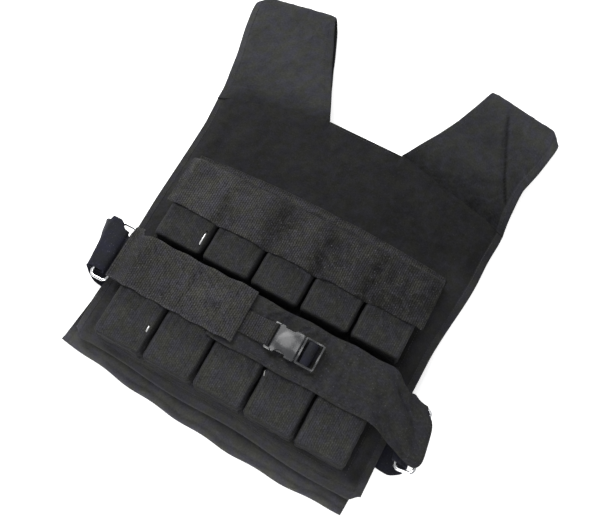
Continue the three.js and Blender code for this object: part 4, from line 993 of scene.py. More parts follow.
def rounded_ring(half_x, low_y, high_y, radius):
    """A rectangle with round corners, as points in a loop from the right side upward."""
    radius = min(radius, half_x * 0.98)
    middles = [(x - math.copysign(radius, x), y) for x, y in (
        (half_x, high_y - radius), (-half_x, high_y - radius),
        (-half_x, low_y + radius), (half_x, low_y + radius))]
    arcs = []
    for k, (middle_x, middle_y) in enumerate(middles):
        angle = np.radians(np.linspace(k * QUARTER_TURN, (k + 1) * QUARTER_TURN, CORNER_POINTS))
        arcs.append(np.column_stack([middle_x + radius * np.cos(angle), middle_y + radius * np.sin(angle)]))
    parts = []
    for k, corner in enumerate(arcs):
        count = END_POINTS if k % 2 == 0 else SIDE_POINTS
        share = np.linspace(0, 1, count + 2)[1:-1, None]
        parts += [corner, corner[-1] + (arcs[(k + 1) % 4][0] - corner[-1]) * share]
    return np.concatenate(parts)


def pouch_levels():
    """Rows of (inset, z, splay share, wall share) from the seam to the middle of the top."""
    height = POUCH_HEIGHT
    quarter = math.pi / 2
    wall = [(0, z, float(np.interp(z / height, [0, 0.35, 1], [1, 0.45, 0.1])), 1)
            for z in np.linspace(0, height - EDGE_ROUND, 9)]
    turn = [(EDGE_ROUND * (1 - math.cos(a)), height - EDGE_ROUND * (1 - math.sin(a)), 0.1, 1 - a / quarter)
            for a in np.linspace(0, quarter, 7)[1:]]
    top = [(inset, height, 0.1, 0) for inset in np.linspace(EDGE_ROUND, FACE_WIDTH / 2 - 0.4, 16)[1:]]
    return wall + turn + top


def pouch_loft():
    """The plain pouch: x, y, z and wall share of each point, in rows from the seam up."""
    rings = []
    for inset, z, splay, wall in pouch_levels():
        half_x = (FACE_WIDTH + (BLOCK_BASE_WIDTH - FACE_WIDTH) * splay) / 2 - inset
        low_y = inset - BLOCK_SPLAY * splay
        high_y = BLOCK_LENGTH + BLOCK_SPLAY * splay - inset
        ring = rounded_ring(half_x, low_y, high_y, max(0.3, CORNER_ROUND - inset))
        rings.append(np.column_stack([ring, np.full(len(ring), z), np.full(len(ring), wall)]))
    loft = np.stack(rings)
    return (loft[..., k] for k in range(4))


print("rings of points in a pouch:", len(pouch_levels()))


# %% Slack, gathers and dents of a pouch
def pouch_shape(x, y, z, wall, seed):
    """The loft's points, pushed about as cloth over an ingot is."""
    along = y - POUCH_MIDDLE_Y
    near_side = smooth((np.abs(x) - FACE_WIDTH / 2 + 12) / 12)
    near_end = smooth((np.abs(along) - POUCH_MIDDLE_Y + 14) / 14)
    at_corner = near_side * near_end
    out_x = np.sign(x) * (np.abs(x) > FACE_WIDTH / 2 - 8)
    out_y = np.sign(along) * (np.abs(along) > POUCH_MIDDLE_Y - 8)
    gather = np.sin(0.9 * (x * np.sign(along) - along * np.sign(x)) + seed)
    slack = 1 - z / POUCH_HEIGHT
    push = wall * (0.5 * swell(x * 1.3, y + z, 22, seed) * (0.3 + slack) + 0.6 * at_corner * gather * slack)
    push = push + 0.55 * smooth(z / POUCH_HEIGHT) - 0.25
    push = np.where(z < 0.5, np.minimum(push, 0), push)
    centre_share = 1 - np.clip(np.hypot(x / (FACE_WIDTH / 2), along / POUCH_MIDDLE_Y), 0, 1)
    dome = 0.8 * smooth(centre_share * 1.6)
    dent = 0.3 * swell(x, y, 30, seed + 50) + 0.2 * swell(x, y, 11, seed + 70)
    dent = np.minimum(dent + 0.5 * crumple(x, y, 20, seed + 90), 0.5)
    from_edge = np.minimum(FACE_WIDTH / 2 - np.abs(x), POUCH_MIDDLE_Y - np.abs(along))
    ridge = -0.5 * bell(from_edge - 8, 2.2)
    new_z = z + (1 - wall) * (dome + dent + ridge - 0.35) - 1.1 * at_corner * (1 - wall)
    return np.stack([x + out_x * push, y + out_y * push, new_z], axis=-1)


def pouch_tone_and_painted_light(x, y, wall, seed, edge_y):
    """Painted light and shade: the top paler with a painted highlight on the turned edge, painted shade on
    the walls, most on the hem's side, and a painted shadow where the belt or the flap shades the top.
    """
    flat = 1 - wall
    in_lower_row = edge_y < UPPER_EDGE_Y
    hem_side = smooth((POUCH_MIDDLE_Y - y) / 12 - 3)
    # Painted light on the top and the turned edge, painted shade on the walls.
    tone_and_painted_light = 0.2 * flat - 0.2 * wall - 0.15 * hem_side * wall + 0.35 * bell(wall - 0.25, 0.2)
    tone_and_painted_light = tone_and_painted_light + flat * (0.4 * crumple(x, y, 18, seed + 91) + (0.16 if in_lower_row else -0.08))
    # Painted shadow: of the belt on the lower row, of the flap on the upper row.
    if in_lower_row:
        shaded = 0.4 * smooth((y + edge_y + 150) / 25)
    else:
        shaded = 0.3 * smooth((y + edge_y + 24) / 18)
    return tone_and_painted_light - flat * shaded


# %% Pouches
def torn_open(points, quads, centre_x, edge_y, slit):
    """The faces that are left beside a tear in the top."""
    centre = points[quads].mean(axis=1)
    torn = ((np.abs(centre[:, 0] - centre_x - slit["x"]) < slit["width"] / 2)
            & (np.abs(centre[:, 1] - edge_y - slit["up"]) < slit["length"] / 2)
            & (centre[:, 2] > BLOCK_BASE_Z + POUCH_HEIGHT - 6))
    return quads[~torn]


def pouch(row_name, number, slit=None):
    node = f"{row_name}_pocket_{number}"
    centre_x, edge_y = (number - (POCKETS + 1) / 2) * PITCH, ROWS[row_name]
    seed = number + (0 if row_name == "upper" else 20)
    x, y, z, wall = pouch_loft()
    points = pouch_shape(x, y, z, wall, seed) + np.array([centre_x, edge_y, BLOCK_BASE_Z])
    points = points.reshape(-1, 3)
    index = np.arange(x.size).reshape(x.shape)
    ahead = np.roll(index, -1, axis=1)
    quads = np.stack([index[:-1], ahead[:-1], ahead[1:], index[1:]], axis=-1).reshape(-1, 4)
    if slit is not None:
        quads = torn_open(points, quads, centre_x, edge_y, slit)
    faces = [list(q) for q in quads] + [list(index[-1])]
    down = POUCH_HEIGHT - z
    uv = np.stack([x + np.sign(x) * down, y + np.sign(y - POUCH_MIDDLE_Y) * down], axis=-1).reshape(-1, 2)
    tone_and_painted_light = pouch_tone_and_painted_light(x, y, wall, seed, edge_y)
    piece = add_mesh(f"{node}_cloth", points, faces, POUCH_CLOTH, uv + seed * 7, tone_and_painted_light.ravel())
    thickness = piece.modifiers.new("cloth_thickness", "SOLIDIFY")
    thickness.thickness = POUCH_WALL * MM
    thickness.offset = -1
    finish_piece(piece, "pocket_canvas", node)


ROWS = {"upper": UPPER_EDGE_Y, "lower": LOWER_EDGE_Y}
SLITS = {
    "upper": {"x": 24.6, "width": 3.6, "up": 19, "length": 18},
    "lower": {"x": 24.6, "width": 3.4, "up": 29, "length": 10},
}
for row_name in ROWS:
    for number in range(1, POCKETS + 1):
        pouch(row_name, number, SLITS[row_name] if number == 1 else None)
print("pouches:", len(ROWS) * POCKETS)

# %% [markdown]
# ## Flap band
# A band of coarse webbing is sewn flat on the chest by its upper edge and falls over the blocks. It sinks
# between them. A flat strip with a Shrinkwrap modifier would cling to every wall, so the band is lofted along
# a path instead, from the chest up over the edge of the blocks, and stays taut.
# %% The path of the flap
WEBBING_EDGE = [0, 0.2, 0.6, 1.1, 2, 3.5]
BLOCK_TOP_Y = UPPER_EDGE_Y + BLOCK_LENGTH + BLOCK_SPLAY
FLAP_THICK = 2
FLAP_TOP_Y = BLOCK_TOP_Y + 17
FLAP_BOTTOM_Y = UPPER_EDGE_Y + 42
FLAP_HALF_WIDTH = ROW_END_X + 7
FLAP_SEAMS = [2.6, 11.5]
BELT_LOW_Z = BLOCK_TOP_Z + SEAM_GAP


def between_blocks(x, reach=0.14):
    """0 over a block, 1 over the gap between two."""
    turns = x / PITCH + POCKETS / 2
    away = np.abs(turns - np.round(turns))
    inside = np.abs(x) <= ROW_END_X - PITCH / 2
    return np.where(inside, 1 - smooth(away / reach), 0)


def flap_bow(x):
    """The flap's sewn edge is drawn up in the middle."""
    return 9 * (0.4 - (x / FLAP_HALF_WIDTH) ** 2)


def flap_path():
    low = PANEL_TOP_Z + 0.9 + FLAP_THICK / 2
    high = BELT_LOW_Z + FLAP_THICK / 2
    climb = high - low
    return soften_line(np.array([
        (FLAP_TOP_Y, low), (FLAP_TOP_Y - 6, low + 0.3), (FLAP_TOP_Y - 12, low),
        (BLOCK_TOP_Y + 3, low + climb * 0.18), (BLOCK_TOP_Y + 2, low + climb * 0.5),
        (BLOCK_TOP_Y, high - 6), (BLOCK_TOP_Y - 3, high - 1.8), (BLOCK_TOP_Y - 9, high),
        (FLAP_BOTTOM_Y + 26, high + 0.35), (FLAP_BOTTOM_Y, high),
    ]), spacing=1.2, radius=4)


print("flap, sewn edge to free edge:", round(float(arc_length(flap_path())[-1]), 1))


# %% Flap band
def flap_tone_and_painted_light(x, run, on_top, sewn):
    """Painted light on the blocks' crowns and painted shade in the valleys and in a line below the strip;
    paler on the stitched strip, and paler again at the left end.
    """
    # Painted light on the crowns, painted shade in the valleys.
    crown = 1 - between_blocks(x, 0.42)
    tone_and_painted_light = 0.4 * crown * on_top * (1 - smooth((x - 20) / 90)) + 0.3 * sewn - 0.24
    tone_and_painted_light = tone_and_painted_light + 0.4 * crumple(x, run, 22, 46) + 0.6 * bell(run - 7.5, 3) - 0.5 * bell(run - 14, 1.6)
    worn = 0.5 * smooth((60 - np.abs(x + 110)) / 60) * on_top
    return tone_and_painted_light + worn - 0.22 * between_blocks(x, 0.4) * smooth((run - 40) / 30) * on_top


def flap():
    line = flap_path()
    run = arc_length(line)[:, None]
    tangent = path_tangent(line)
    line_y, line_z = line[:, :1], line[:, 1:]
    x = spread(-FLAP_HALF_WIDTH, FLAP_HALF_WIDTH, WEBBING_EDGE, 170)[None, :]
    climbed = smooth((line_z - PANEL_TOP_Z) / (BLOCK_TOP_Z - PANEL_TOP_Z))
    sewn = 1 - smooth((run - 13) / 6)
    past_end = smooth((np.abs(x) - ROW_END_X + 7) / 14)
    on_top = smooth((climbed - 0.9) / 0.1)
    sink = (1.3 + 1.5 * smooth((run - 50) / 40)) * between_blocks(x, 0.2) * on_top
    drop = 7 * past_end * climbed
    ruffle = 0.5 * swell(x, run * 0.5, 38, 41) + 0.3 * swell(x, run, 14, 42) + 0.8 * crumple(x, run, 24, 44)
    ruffle = ruffle + 0.7 * swell(x, 0 * run, 11, 45) * bell(run - 7, 5)
    stitched = 0.7 * (bell(run - FLAP_SEAMS[0], 0.9) + bell(run - FLAP_SEAMS[1], 1.1))
    hang = 0.9 * swell(x, 0 * run, 40, 43) * smooth((run - run.max() + 8) / 8)
    scallop = -1.6 * between_blocks(x, 0.3) * smooth((run - run.max() + 22) / 22)
    edge = np.minimum(np.minimum(run, run.max() - run), FLAP_HALF_WIDTH - np.abs(x))
    half = round_edge(edge, FLAP_THICK / 2)
    lift = np.maximum(ruffle, -0.3) * (0.35 + 0.65 * on_top) - stitched
    base_y = line_y + flap_bow(x) * sewn + scallop + hang * 0.4
    base_z = line_z - sink - drop

    def face(off):
        return np.stack([x + 0 * run, base_y + off * tangent[:, 1:], base_z - off * tangent[:, :1]], axis=-1)

    top = face(half + lift)
    uv = np.stack([x + 0 * run, run + 0 * x], axis=-1)
    piece = closed_sheet("flap_webbing", top, face(-half), uv, WEBBING, flap_tone_and_painted_light(x, run, on_top, sewn))
    finish_piece(piece, "coarse_webbing", "pocket_flap")
    print("flap points", top.shape)


flap()

# %% [markdown]
# ## Waist belt
# Webbing bends one way only, so a belt is a path seen from the hem, carried across its width. One function
# does that for every band here, and each band brings its own path, edges and folds. A cloth simulation would
# have to wind the belt round a wire of 4 mm, which it does badly.
# %% Bands along a path
BELT_THICK = 2.2
RING_WIRE = 4
RING_WIDTH = 26
RING_LENGTH = 76
RING_CORNER = 6
RING_CLEARANCE = 0.5
RING_TILT = {"left": math.radians(-8), "right": math.radians(-10)}
RING_TURN = {"left": 0.0, "right": math.radians(9)}
BELT_LEFT = {"top": -53, "bottom": -118, "end_x": -13}
BELT_RIGHT = {"top": -56, "bottom": -123, "start_x": -44}
WEBBING_START_X = -34
BELT_DROP = [
    {"along": 0.06, "down": 0.015}, {"along": 0.2, "down": 0.12}, {"along": 0.36, "down": 0.32},
    {"along": 0.53, "down": 0.56}, {"along": 0.68, "down": 0.78}, {"along": 0.81, "down": 0.95},
]
BELT_MID_Z = BELT_LOW_Z + BELT_THICK / 2
BELT_TOP_Z = BELT_MID_Z + BELT_THICK / 2
GAP = 0.35
PATH_STEP = 1.1
STRAP_WEBBING = 1.6
WEBBING_Z = BELT_TOP_Z + GAP + STRAP_WEBBING / 2
OVER_BELT_Z = BELT_TOP_Z + 2 * GAP + BELT_THICK / 2
OVER_WEBBING_Z = WEBBING_Z + STRAP_WEBBING / 2 + 2 * GAP + BELT_THICK / 2
RING_SPAN = RING_LENGTH / 2 - RING_WIRE / 2 - RING_CORNER - RING_CLEARANCE
print("belt on the blocks at z", round(BELT_MID_Z, 1), "and room for it in a ring", round(2 * RING_SPAN, 1))


def bar_of(side, sign):
    """Where a ring's long bar lies: x, y, z and its slant."""
    centre = RING_LEFT if side == "left" else RING_RIGHT
    tilt, turn = RING_TILT[side], RING_TURN[side]
    reach = sign * (RING_WIDTH - RING_WIRE) / 2
    return (centre[0] + reach * math.cos(tilt) * math.cos(turn),
            centre[1] + reach * math.cos(tilt) * math.sin(turn),
            centre[2] - reach * math.sin(tilt), -math.tan(turn))


def arc(cx, cz, radius, start, stop, steps=24):
    angle = np.radians(np.linspace(start, stop, steps + 1))
    return np.column_stack([cx + radius * np.cos(angle), cz + radius * np.sin(angle)])


def wound(thick):
    return RING_WIRE / 2 + RING_CLEARANCE + thick / 2


def drop_to(from_x, bar_x, bar_top_z):
    across, down = bar_x - from_x, bar_top_z - BELT_MID_Z
    return np.array([(from_x + across * r["along"], BELT_MID_Z + down * r["down"]) for r in BELT_DROP])


def window_borders(belt, near, bar_y):
    """A belt's two edges: its own width on the blocks, the ring's window at the end."""
    low = belt["bottom"] + (bar_y - RING_SPAN - belt["bottom"]) * near
    high = belt["top"] + (bar_y + RING_SPAN - belt["top"]) * near
    return low, high


def bunched(amount, near, above_bar):
    """How far the cloth is bunched past the upper end of the ring."""
    return amount * smooth((near - 0.55) / 0.3) * smooth((above_bar - 2.2) / 1.2)


def band(name, node, slot, material, line, thick, borders, lift, shear=None, tone_and_painted_light=None,
         rows=44, round_path=4):
    """A band carried across its width: borders gives its two edges, lift pushes its faces off the path."""
    path = soften_line(line, PATH_STEP, round_path)
    run = arc_length(path)[:, None]
    tangent = path_tangent(path)
    path_x, path_z = path[:, :1], path[:, 1:]
    low, high = borders(path_x[:, 0], path_z[:, 0])
    y = spread(low, high, WEBBING_EDGE, rows)
    across = (y - low[:, None]) / (high - low)[:, None]
    edge = np.minimum(np.minimum(y - low[:, None], high[:, None] - y), np.minimum(run, run.max() - run))
    half = round_edge(edge, thick / 2)
    off = lift(path_x, y, across, run, path_z)
    slide = 0 if shear is None else shear(path_x, y, path_z)

    def face(side):
        reach = side * half + off
        return np.stack([path_x - tangent[:, 1:] * reach + slide, y + 0 * path_x,
                         path_z + tangent[:, :1] * reach], axis=-1)

    shade = None if tone_and_painted_light is None else tone_and_painted_light(path_x, y, across, run) + 0 * y
    uv = np.stack([run + 0 * y, y], axis=-1)
    piece = closed_sheet(name, face(1), face(-1), uv, material, shade)
    finish_piece(piece, slot, node)


# %% [markdown]
# ## Left half of the belt
# This half is coarse and lies on top: over the buckle's webbing, then over the right half, to which it is
# tacked by a square of stitches with a cross. Then it goes down beside the blocks and round its ring. The
# tacking puckers it, and no pucker is like the next, so the main creases are drawn as single lines and a
# finer crumple is strongest round the patch. The patch is paler.
# %% Creases and the tacked patch
TACKED = {"x": -62, "y": -87, "half_x": 27, "half_y": 25}
BELT_CREASES = [
    {"start": (-96, -56), "end": (-87, -100), "width": 3.2, "height": -1.2},
    {"start": (-102, -56), "end": (-93, -98), "width": 4, "height": 1.1},
    {"start": (-84, -60), "end": (-78, -90), "width": 4, "height": 0.9},
    {"start": (-66, -72), "end": (-56, -92), "width": 3.4, "height": 1.5},
    {"start": (-58, -70), "end": (-44, -94), "width": 3.4, "height": -1.4},
    {"start": (-50, -82), "end": (-36, -104), "width": 4, "height": 1.3},
    {"start": (-78, -92), "end": (-58, -108), "width": 3.6, "height": 1.1},
    {"start": (-40, -64), "end": (-30, -84), "width": 3.2, "height": 0.8},
    {"start": (-146, -60), "end": (-128, -112), "width": 9, "height": 0.7},
    {"start": (-172, -64), "end": (-160, -112), "width": 5, "height": -0.8},
]


def tacked_patch(x, y):
    """Thread lines pull the belt down: a box with a cross in it."""
    u, v = (x - TACKED["x"]) / TACKED["half_x"], (y - TACKED["y"]) / TACKED["half_y"]
    inside = (np.abs(u) < 1.15) & (np.abs(v) < 1.15)
    box = np.minimum(np.abs(np.abs(u) - 1), np.abs(np.abs(v) - 1))
    cross = np.minimum(np.abs(u - v), np.abs(u + v)) * 0.7
    near = np.minimum(np.where(np.maximum(np.abs(u), np.abs(v)) > 0.5, box, 1), cross)
    return -0.7 * bell(near, 0.07) * inside


print("drawn creases on the left half:", len(BELT_CREASES))


# %% The left half
def belt_left():
    radius = wound(BELT_THICK)
    bar_x, bar_y, bar_z, _ = bar_of("left", 1)
    last_x = 7 - ROW_END_X
    start_x, end_x = BELT_RIGHT["start_x"], BELT_LEFT["end_x"]
    line = np.concatenate([
        [(end_x, OVER_WEBBING_Z), (WEBBING_START_X - 2, OVER_WEBBING_Z), (start_x + 2, OVER_BELT_Z),
         (start_x - 2, OVER_BELT_Z), (start_x - 10, BELT_MID_Z), (last_x, BELT_MID_Z)],
        drop_to(last_x, bar_x, bar_z + radius),
        arc(bar_x, bar_z, radius, start=75, stop=285),
        [(bar_x + 1.4 * radius, bar_z - 1.15 * radius), (bar_x + 2.8 * radius, bar_z - 0.95 * radius)],
    ])

    def borders(x, z):
        near = smooth((last_x - x) / (last_x - bar_x - radius))
        low, high = window_borders(BELT_LEFT, near, bar_y)
        low = low + 0.7 * np.sin(x * 0.21) * (1 - near)
        return low, high + bunched(9, near, z - bar_z) + 0.6 * np.sin(x * 0.17 + 1) * (1 - near)

    def lift(x, y, across, run, z):
        on_blocks = smooth((x - last_x) / 12) * smooth((z - BELT_MID_Z + 4) / 4)
        valley = -1.2 * between_blocks(x, 0.2) * (x < start_x - 14) * smooth((-72 - y) / 8 + 0.4)
        body = creases(x, y, BELT_CREASES) + tacked_patch(x, y) + 0.4 * swell(x, y, 26, 61)
        puckered = 0.5 + 1.3 * spot(x, y, at=(-60, -88), reach=(38, 28))
        body = body + 0.3 * swell(x, y, 10, 62) + puckered * crumple(x, y, 20, 63)
        return (valley + np.clip(body, -1.0, 2.2)) * on_blocks * smooth(run / 3)

    def tone_and_painted_light(x, y, across, run):
        pale = 0.55 * spot(x, y, at=(-60, -86), reach=(44, 30))
        dark = 0.9 * spot(x, y, at=(-51, -89), reach=(8, 7))
        edges_worn = 0.5 * bell(np.minimum(across, 1 - across) * (BELT_LEFT["top"] - BELT_LEFT["bottom"]), 3)
        return 0.1 + (pale - dark) + edges_worn + 0.35 * crumple(x, y, 18, 64) - 0.1 * smooth((x + 130) / -40)

    band("belt_left_webbing", "belt_left", "coarse_webbing", WEBBING, line, BELT_THICK, borders, lift,
         tone_and_painted_light=tone_and_painted_light)


belt_left()

# %% [markdown]
# ## Right half of the belt
# This half is smoother and lies on the blocks, under the buckle. It narrows to its ring's window, so the
# spare cloth rises in loose folds before it goes round the wire. The ring lies askew, and the belt's end is
# sheared to follow it. A straight end with a turned ring would leave cloth and wire crossing.
# %% The right half
RIGHT_CREASES = [
    {"start": (150, -58), "end": (168, -124), "width": 9, "height": 1.0},
    {"start": (120, -64), "end": (150, -96), "width": 6, "height": -0.7},
    {"start": (84, -60), "end": (128, -72), "width": 5, "height": 0.7},
    {"start": (20, -112), "end": (90, -118), "width": 4, "height": 0.7},
    {"start": (-2, -58), "end": (36, -64), "width": 3, "height": 0.8},
]


def belt_right():
    radius = wound(BELT_THICK)
    bar_x, bar_y, bar_z, lean = bar_of("right", 1)
    last_x = ROW_END_X - 7
    line = np.concatenate([
        [(BELT_RIGHT["start_x"], BELT_MID_Z), (last_x, BELT_MID_Z)],
        drop_to(last_x, bar_x, bar_z + radius),
        arc(bar_x, bar_z, radius, start=100, stop=-105),
        [(bar_x - 1.2 * radius, bar_z - 1.1 * radius), (bar_x - 2.4 * radius, bar_z - 1.1 * radius)],
    ])

    def borders(x, z):
        near = smooth((x - last_x) / (bar_x - last_x))
        low, high = window_borders(BELT_RIGHT, near, bar_y)
        low = low + 0.7 * np.sin(x * 0.09) * (1 - near)
        return low, high + bunched(8, near, z - bar_z) + 0.8 * np.sin(x * 0.11 + 2) * (1 - near)

    def shear(x, y, z):
        near = smooth((x - last_x) / (bar_x - radius - last_x))
        off_middle = np.clip((y - bar_y) / (RING_SPAN + 1), -1, 1)
        rounded = 2.5 - 8.5 * np.abs(off_middle) ** 5
        return (lean * (y - bar_y) + rounded) * near

    def lift(x, y, across, run, z):
        along = (x - last_x) / (bar_x - last_x)
        loose = smooth((along + 0.15) / 0.35) * (1 - smooth((along - 0.7) / 0.2)) * (z > bar_z)
        jumble = 1.5 * loose * np.sin(across * 9.4 + along * 7) + 0.9 * loose * swell(x, y, 15, 71)
        sink = -1.2 * between_blocks(x, 0.2) * (x > BELT_RIGHT["start_x"] + 10)
        flat = (x > 0) * smooth((last_x - x) / 10)
        body = creases(x, y, RIGHT_CREASES) + 0.4 * swell(x, y, 40, 72) + 0.3 * swell(x, y, 13, 73)
        body = (body + 0.9 * crumple(x, y, 26, 74)) * flat
        return jumble + sink + np.clip(body, -0.6, 2)

    def tone_and_painted_light(x, y, across, run):
        return 0.1 + 0.25 * crumple(x, y, 24, 75)

    band("belt_right_cloth", "belt_right", "belt_canvas", BELT_CLOTH, line, BELT_THICK, borders, lift,
         shear=shear, tone_and_painted_light=tone_and_painted_light)


belt_right()

# %% [markdown]
# ## Back belt
# One dark band runs under the back panel and up to both rings. At the left it hangs in a puffed loop, and the
# end that is folded back round the wire bulges into the ring's window. The loops are drawn as a few places,
# given as shares of their reach and height, so they follow the rings.
# %% The back belt, folded round both rings
LOOP_LEFT = [(0.48, 0.97), (0.81, 0.8), (1.0, 0.57), (0.86, 0.3), (0.43, 0.09), (-0.1, 0)]
LOOP_RIGHT = [(-0.44, 0), (0.33, 0.08), (0.94, 0.33), (1.0, 0.58)]
LOOP_REACH = {"left": 21, "right": 15}


def hanging_loop(table, bar_x, reach, top_z):
    mid = BACK_BELT_THICK / 2
    return [(bar_x + out * reach, mid + (top_z - mid) * up) for out, up in table]


def back_belt():
    radius = wound(BACK_BELT_THICK)
    mid = BACK_BELT_THICK / 2
    left_x, left_y, left_z, _ = bar_of("left", -1)
    right_x, right_y, right_z, lean = bar_of("right", -1)
    left = hanging_loop(LOOP_LEFT, left_x, -LOOP_REACH["left"], left_z + radius)
    right = hanging_loop(LOOP_RIGHT, right_x, LOOP_REACH["right"], right_z + radius)
    line = np.concatenate([
        [(left_x - 3.5 * radius, left_z - 1.15 * radius), (left_x - 1.6 * radius, left_z - 1.08 * radius)],
        [(left_x, left_z - radius), (left_x + 6, left_z - 0.95 * radius),
         (left_x + 11, left_z - 0.6 * radius), (left_x + 13, left_z),
         (left_x + 11, left_z + 0.7 * radius), (left_x + 6, left_z + 1.1 * radius)],
        arc(left_x, left_z, radius, start=80, stop=100), left,
        [(left_x + 4 * radius, mid), (right_x - 4 * radius, mid)], right,
        arc(right_x, right_z, radius, start=10, stop=250),
        [(right_x + 0.35 * radius, right_z - 1.4 * radius)],
    ])

    def borders(x, z):
        bar_z = np.where(x < 0, left_z, right_z)
        raised = smooth((z - mid) / (0.7 * bar_z))
        middle = back_belt_mid_y(x) * (1 - raised) + np.where(x < 0, left_y, right_y) * raised
        above = (x < 0) * smooth((z - left_z) / 2)
        below = (1 - raised) * smooth((left_x + 30 - x) / 10)
        fuller = 4.0 * smooth((left_x + 8 - x) / 12) + 5 * above * smooth((left_x + 10 - x) / 10)
        return (middle - BACK_BELT_WIDTH / 2 + 2 * above - 10 * below,
                middle + BACK_BELT_WIDTH / 2 + fuller)

    def shear(x, y, z):
        right_part = lean * (y - right_y) * smooth((z - mid) / (0.7 * right_z))
        out = np.clip((left_x - radius - x) / (LOOP_REACH["left"] - radius), 0, 1)
        return np.where(x > 0, right_part, out * 0.2 * (left_y + BACK_BELT_WIDTH / 4 - y))

    def lift(x, y, across, run, z):
        free = (x < left_x - radius) * smooth((z - 6) / 8) * smooth((left_z - z) / 6)
        puffed = 3.2 * free * np.sin(math.pi * np.clip(across, 0, 1))
        return puffed + free * (0.9 * swell(run, y, 22, 81) + 0.5 * np.sin(across * 6))

    band("back_belt_webbing", "back_belt", "dark_webbing", DARK_WEBBING, line, BACK_BELT_THICK, borders, lift,
         shear=shear, rows=24, round_path=2.5)


back_belt()

# %% [markdown]
# ## Rings
# Bent steel wire with a nickel finish. A curve with a round bevel could draw it too; a swept ring of points
# keeps the wire's thickness and its place exactly as in the frame.
# %% Rings
WIRE_SIDES = 16
CORNER_STEPS = 10


def ring_points():
    """A rectangle of round wire with bent corners, flat and round its own middle."""
    half_x = (RING_WIDTH - RING_WIRE) / 2 - RING_CORNER
    half_y = (RING_LENGTH - RING_WIRE) / 2 - RING_CORNER
    around = np.linspace(0, 2 * math.pi, WIRE_SIDES, endpoint=False)
    reach = RING_CORNER + RING_WIRE / 2 * np.cos(around)
    corners = [(half_x, half_y), (-half_x, half_y), (-half_x, -half_y), (half_x, -half_y)]
    rows = []
    for k, (cx, cy) in enumerate(corners):
        for step in range(CORNER_STEPS + 1):
            out = math.radians(k * QUARTER_TURN + QUARTER_TURN * step / CORNER_STEPS)
            rows.append(np.column_stack([cx + math.cos(out) * reach, cy + math.sin(out) * reach,
                                         RING_WIRE / 2 * np.sin(around)]))
    return np.stack(rows)


def wire_ring(side):
    centre = RING_LEFT if side == "left" else RING_RIGHT
    tilt, turn = RING_TILT[side], RING_TURN[side]
    points = ring_points()
    x, y, z = (points[..., k] for k in range(3))
    tilted_x = x * math.cos(tilt) + z * math.sin(tilt)
    tilted_z = -x * math.sin(tilt) + z * math.cos(tilt)
    turned_x = tilted_x * math.cos(turn) - y * math.sin(turn)
    turned_y = tilted_x * math.sin(turn) + y * math.cos(turn)
    points = np.stack([turned_x, turned_y, tilted_z], axis=-1) + centre
    index = np.arange(x.size).reshape(x.shape)
    ahead, beside = np.roll(index, -1, axis=0), np.roll(index, -1, axis=1)
    both = np.roll(ahead, -1, axis=1)
    quads = np.stack([index, ahead, both, beside], axis=-1).reshape(-1, 4)
    flat_points = points.reshape(-1, 3)
    if signed_volume(flat_points, quads) < 0:
        quads = quads[:, ::-1]
    piece = add_mesh(f"ring_{side}_wire", flat_points, quads, NICKEL)
    finish_piece(piece, "ring_metal", f"ring_{side}")
    print(piece.name, "points", len(flat_points))


wire_ring("left")
wire_ring("right")

# %% [markdown]
# ## Buckle and its webbing
# The buckle halves are moulded plastic, and their solids have the true shape, so they stay and get a bevel:
# real mouldings have no sharp edge, and it is the edge that catches the light. The webbing that ties them
# to the belt is woven like the belt.
# %% Buckle and ingots
BUCKLE_BEVEL = 0.45
INGOT_BEVEL = 0.5
SHARP_ANGLE = math.radians(35)


def keep_hard(node, material, bevel):
    piece = frame["nodes"][node]
    piece.data.materials.clear()
    piece.data.materials.append(material)
    rounding = piece.modifiers.new("edge_rounding", "BEVEL")
    rounding.width = bevel * MM
    rounding.segments = 2
    rounding.limit_method = "ANGLE"
    rounding.angle_limit = SHARP_ANGLE
    rounding.harden_normals = True


for half_name in ("buckle_female", "buckle_male"):
    keep_hard(half_name, PLASTIC, BUCKLE_BEVEL)
for row_name in ROWS:
    for number in range(1, POCKETS + 1):
        keep_hard(f"{row_name}_weight_{number}", STEEL, INGOT_BEVEL)
print("bevelled:", sum("edge_rounding" in piece.modifiers for piece in frame["nodes"].values()), "solids")

# %% The webbing at the buckle
BUCKLE_LOW, BUCKLE_HIGH = (v - ORIGIN for v in box_mm("buckle_female"))
BUCKLE_MID_Y = (BUCKLE_LOW[1] + BUCKLE_HIGH[1]) / 2
BUCKLE_MID_Z = (BUCKLE_LOW[2] + BUCKLE_HIGH[2]) / 2
TIE_WIDTH = 27
FEMALE_BAR = {"half_x": 1.6, "half_z": 1.7}
MALE_BAR = {"half_x": 1.8, "half_z": 3.1}
BAR_X = BUCKLE_LOW[0] + FEMALE_BAR["half_x"]


def tie_borders(x, z):
    half = TIE_WIDTH / 2 + 0 * x
    return BUCKLE_MID_Y - half, BUCKLE_MID_Y + half


def round_bar(bar):
    return math.hypot(bar["half_x"], bar["half_z"]) + GAP + STRAP_WEBBING / 2


def ribs(x, y, across, run, z):
    """Two low ribs along the webbing."""
    return 0.12 * np.sin(across * 12) + 0 * x


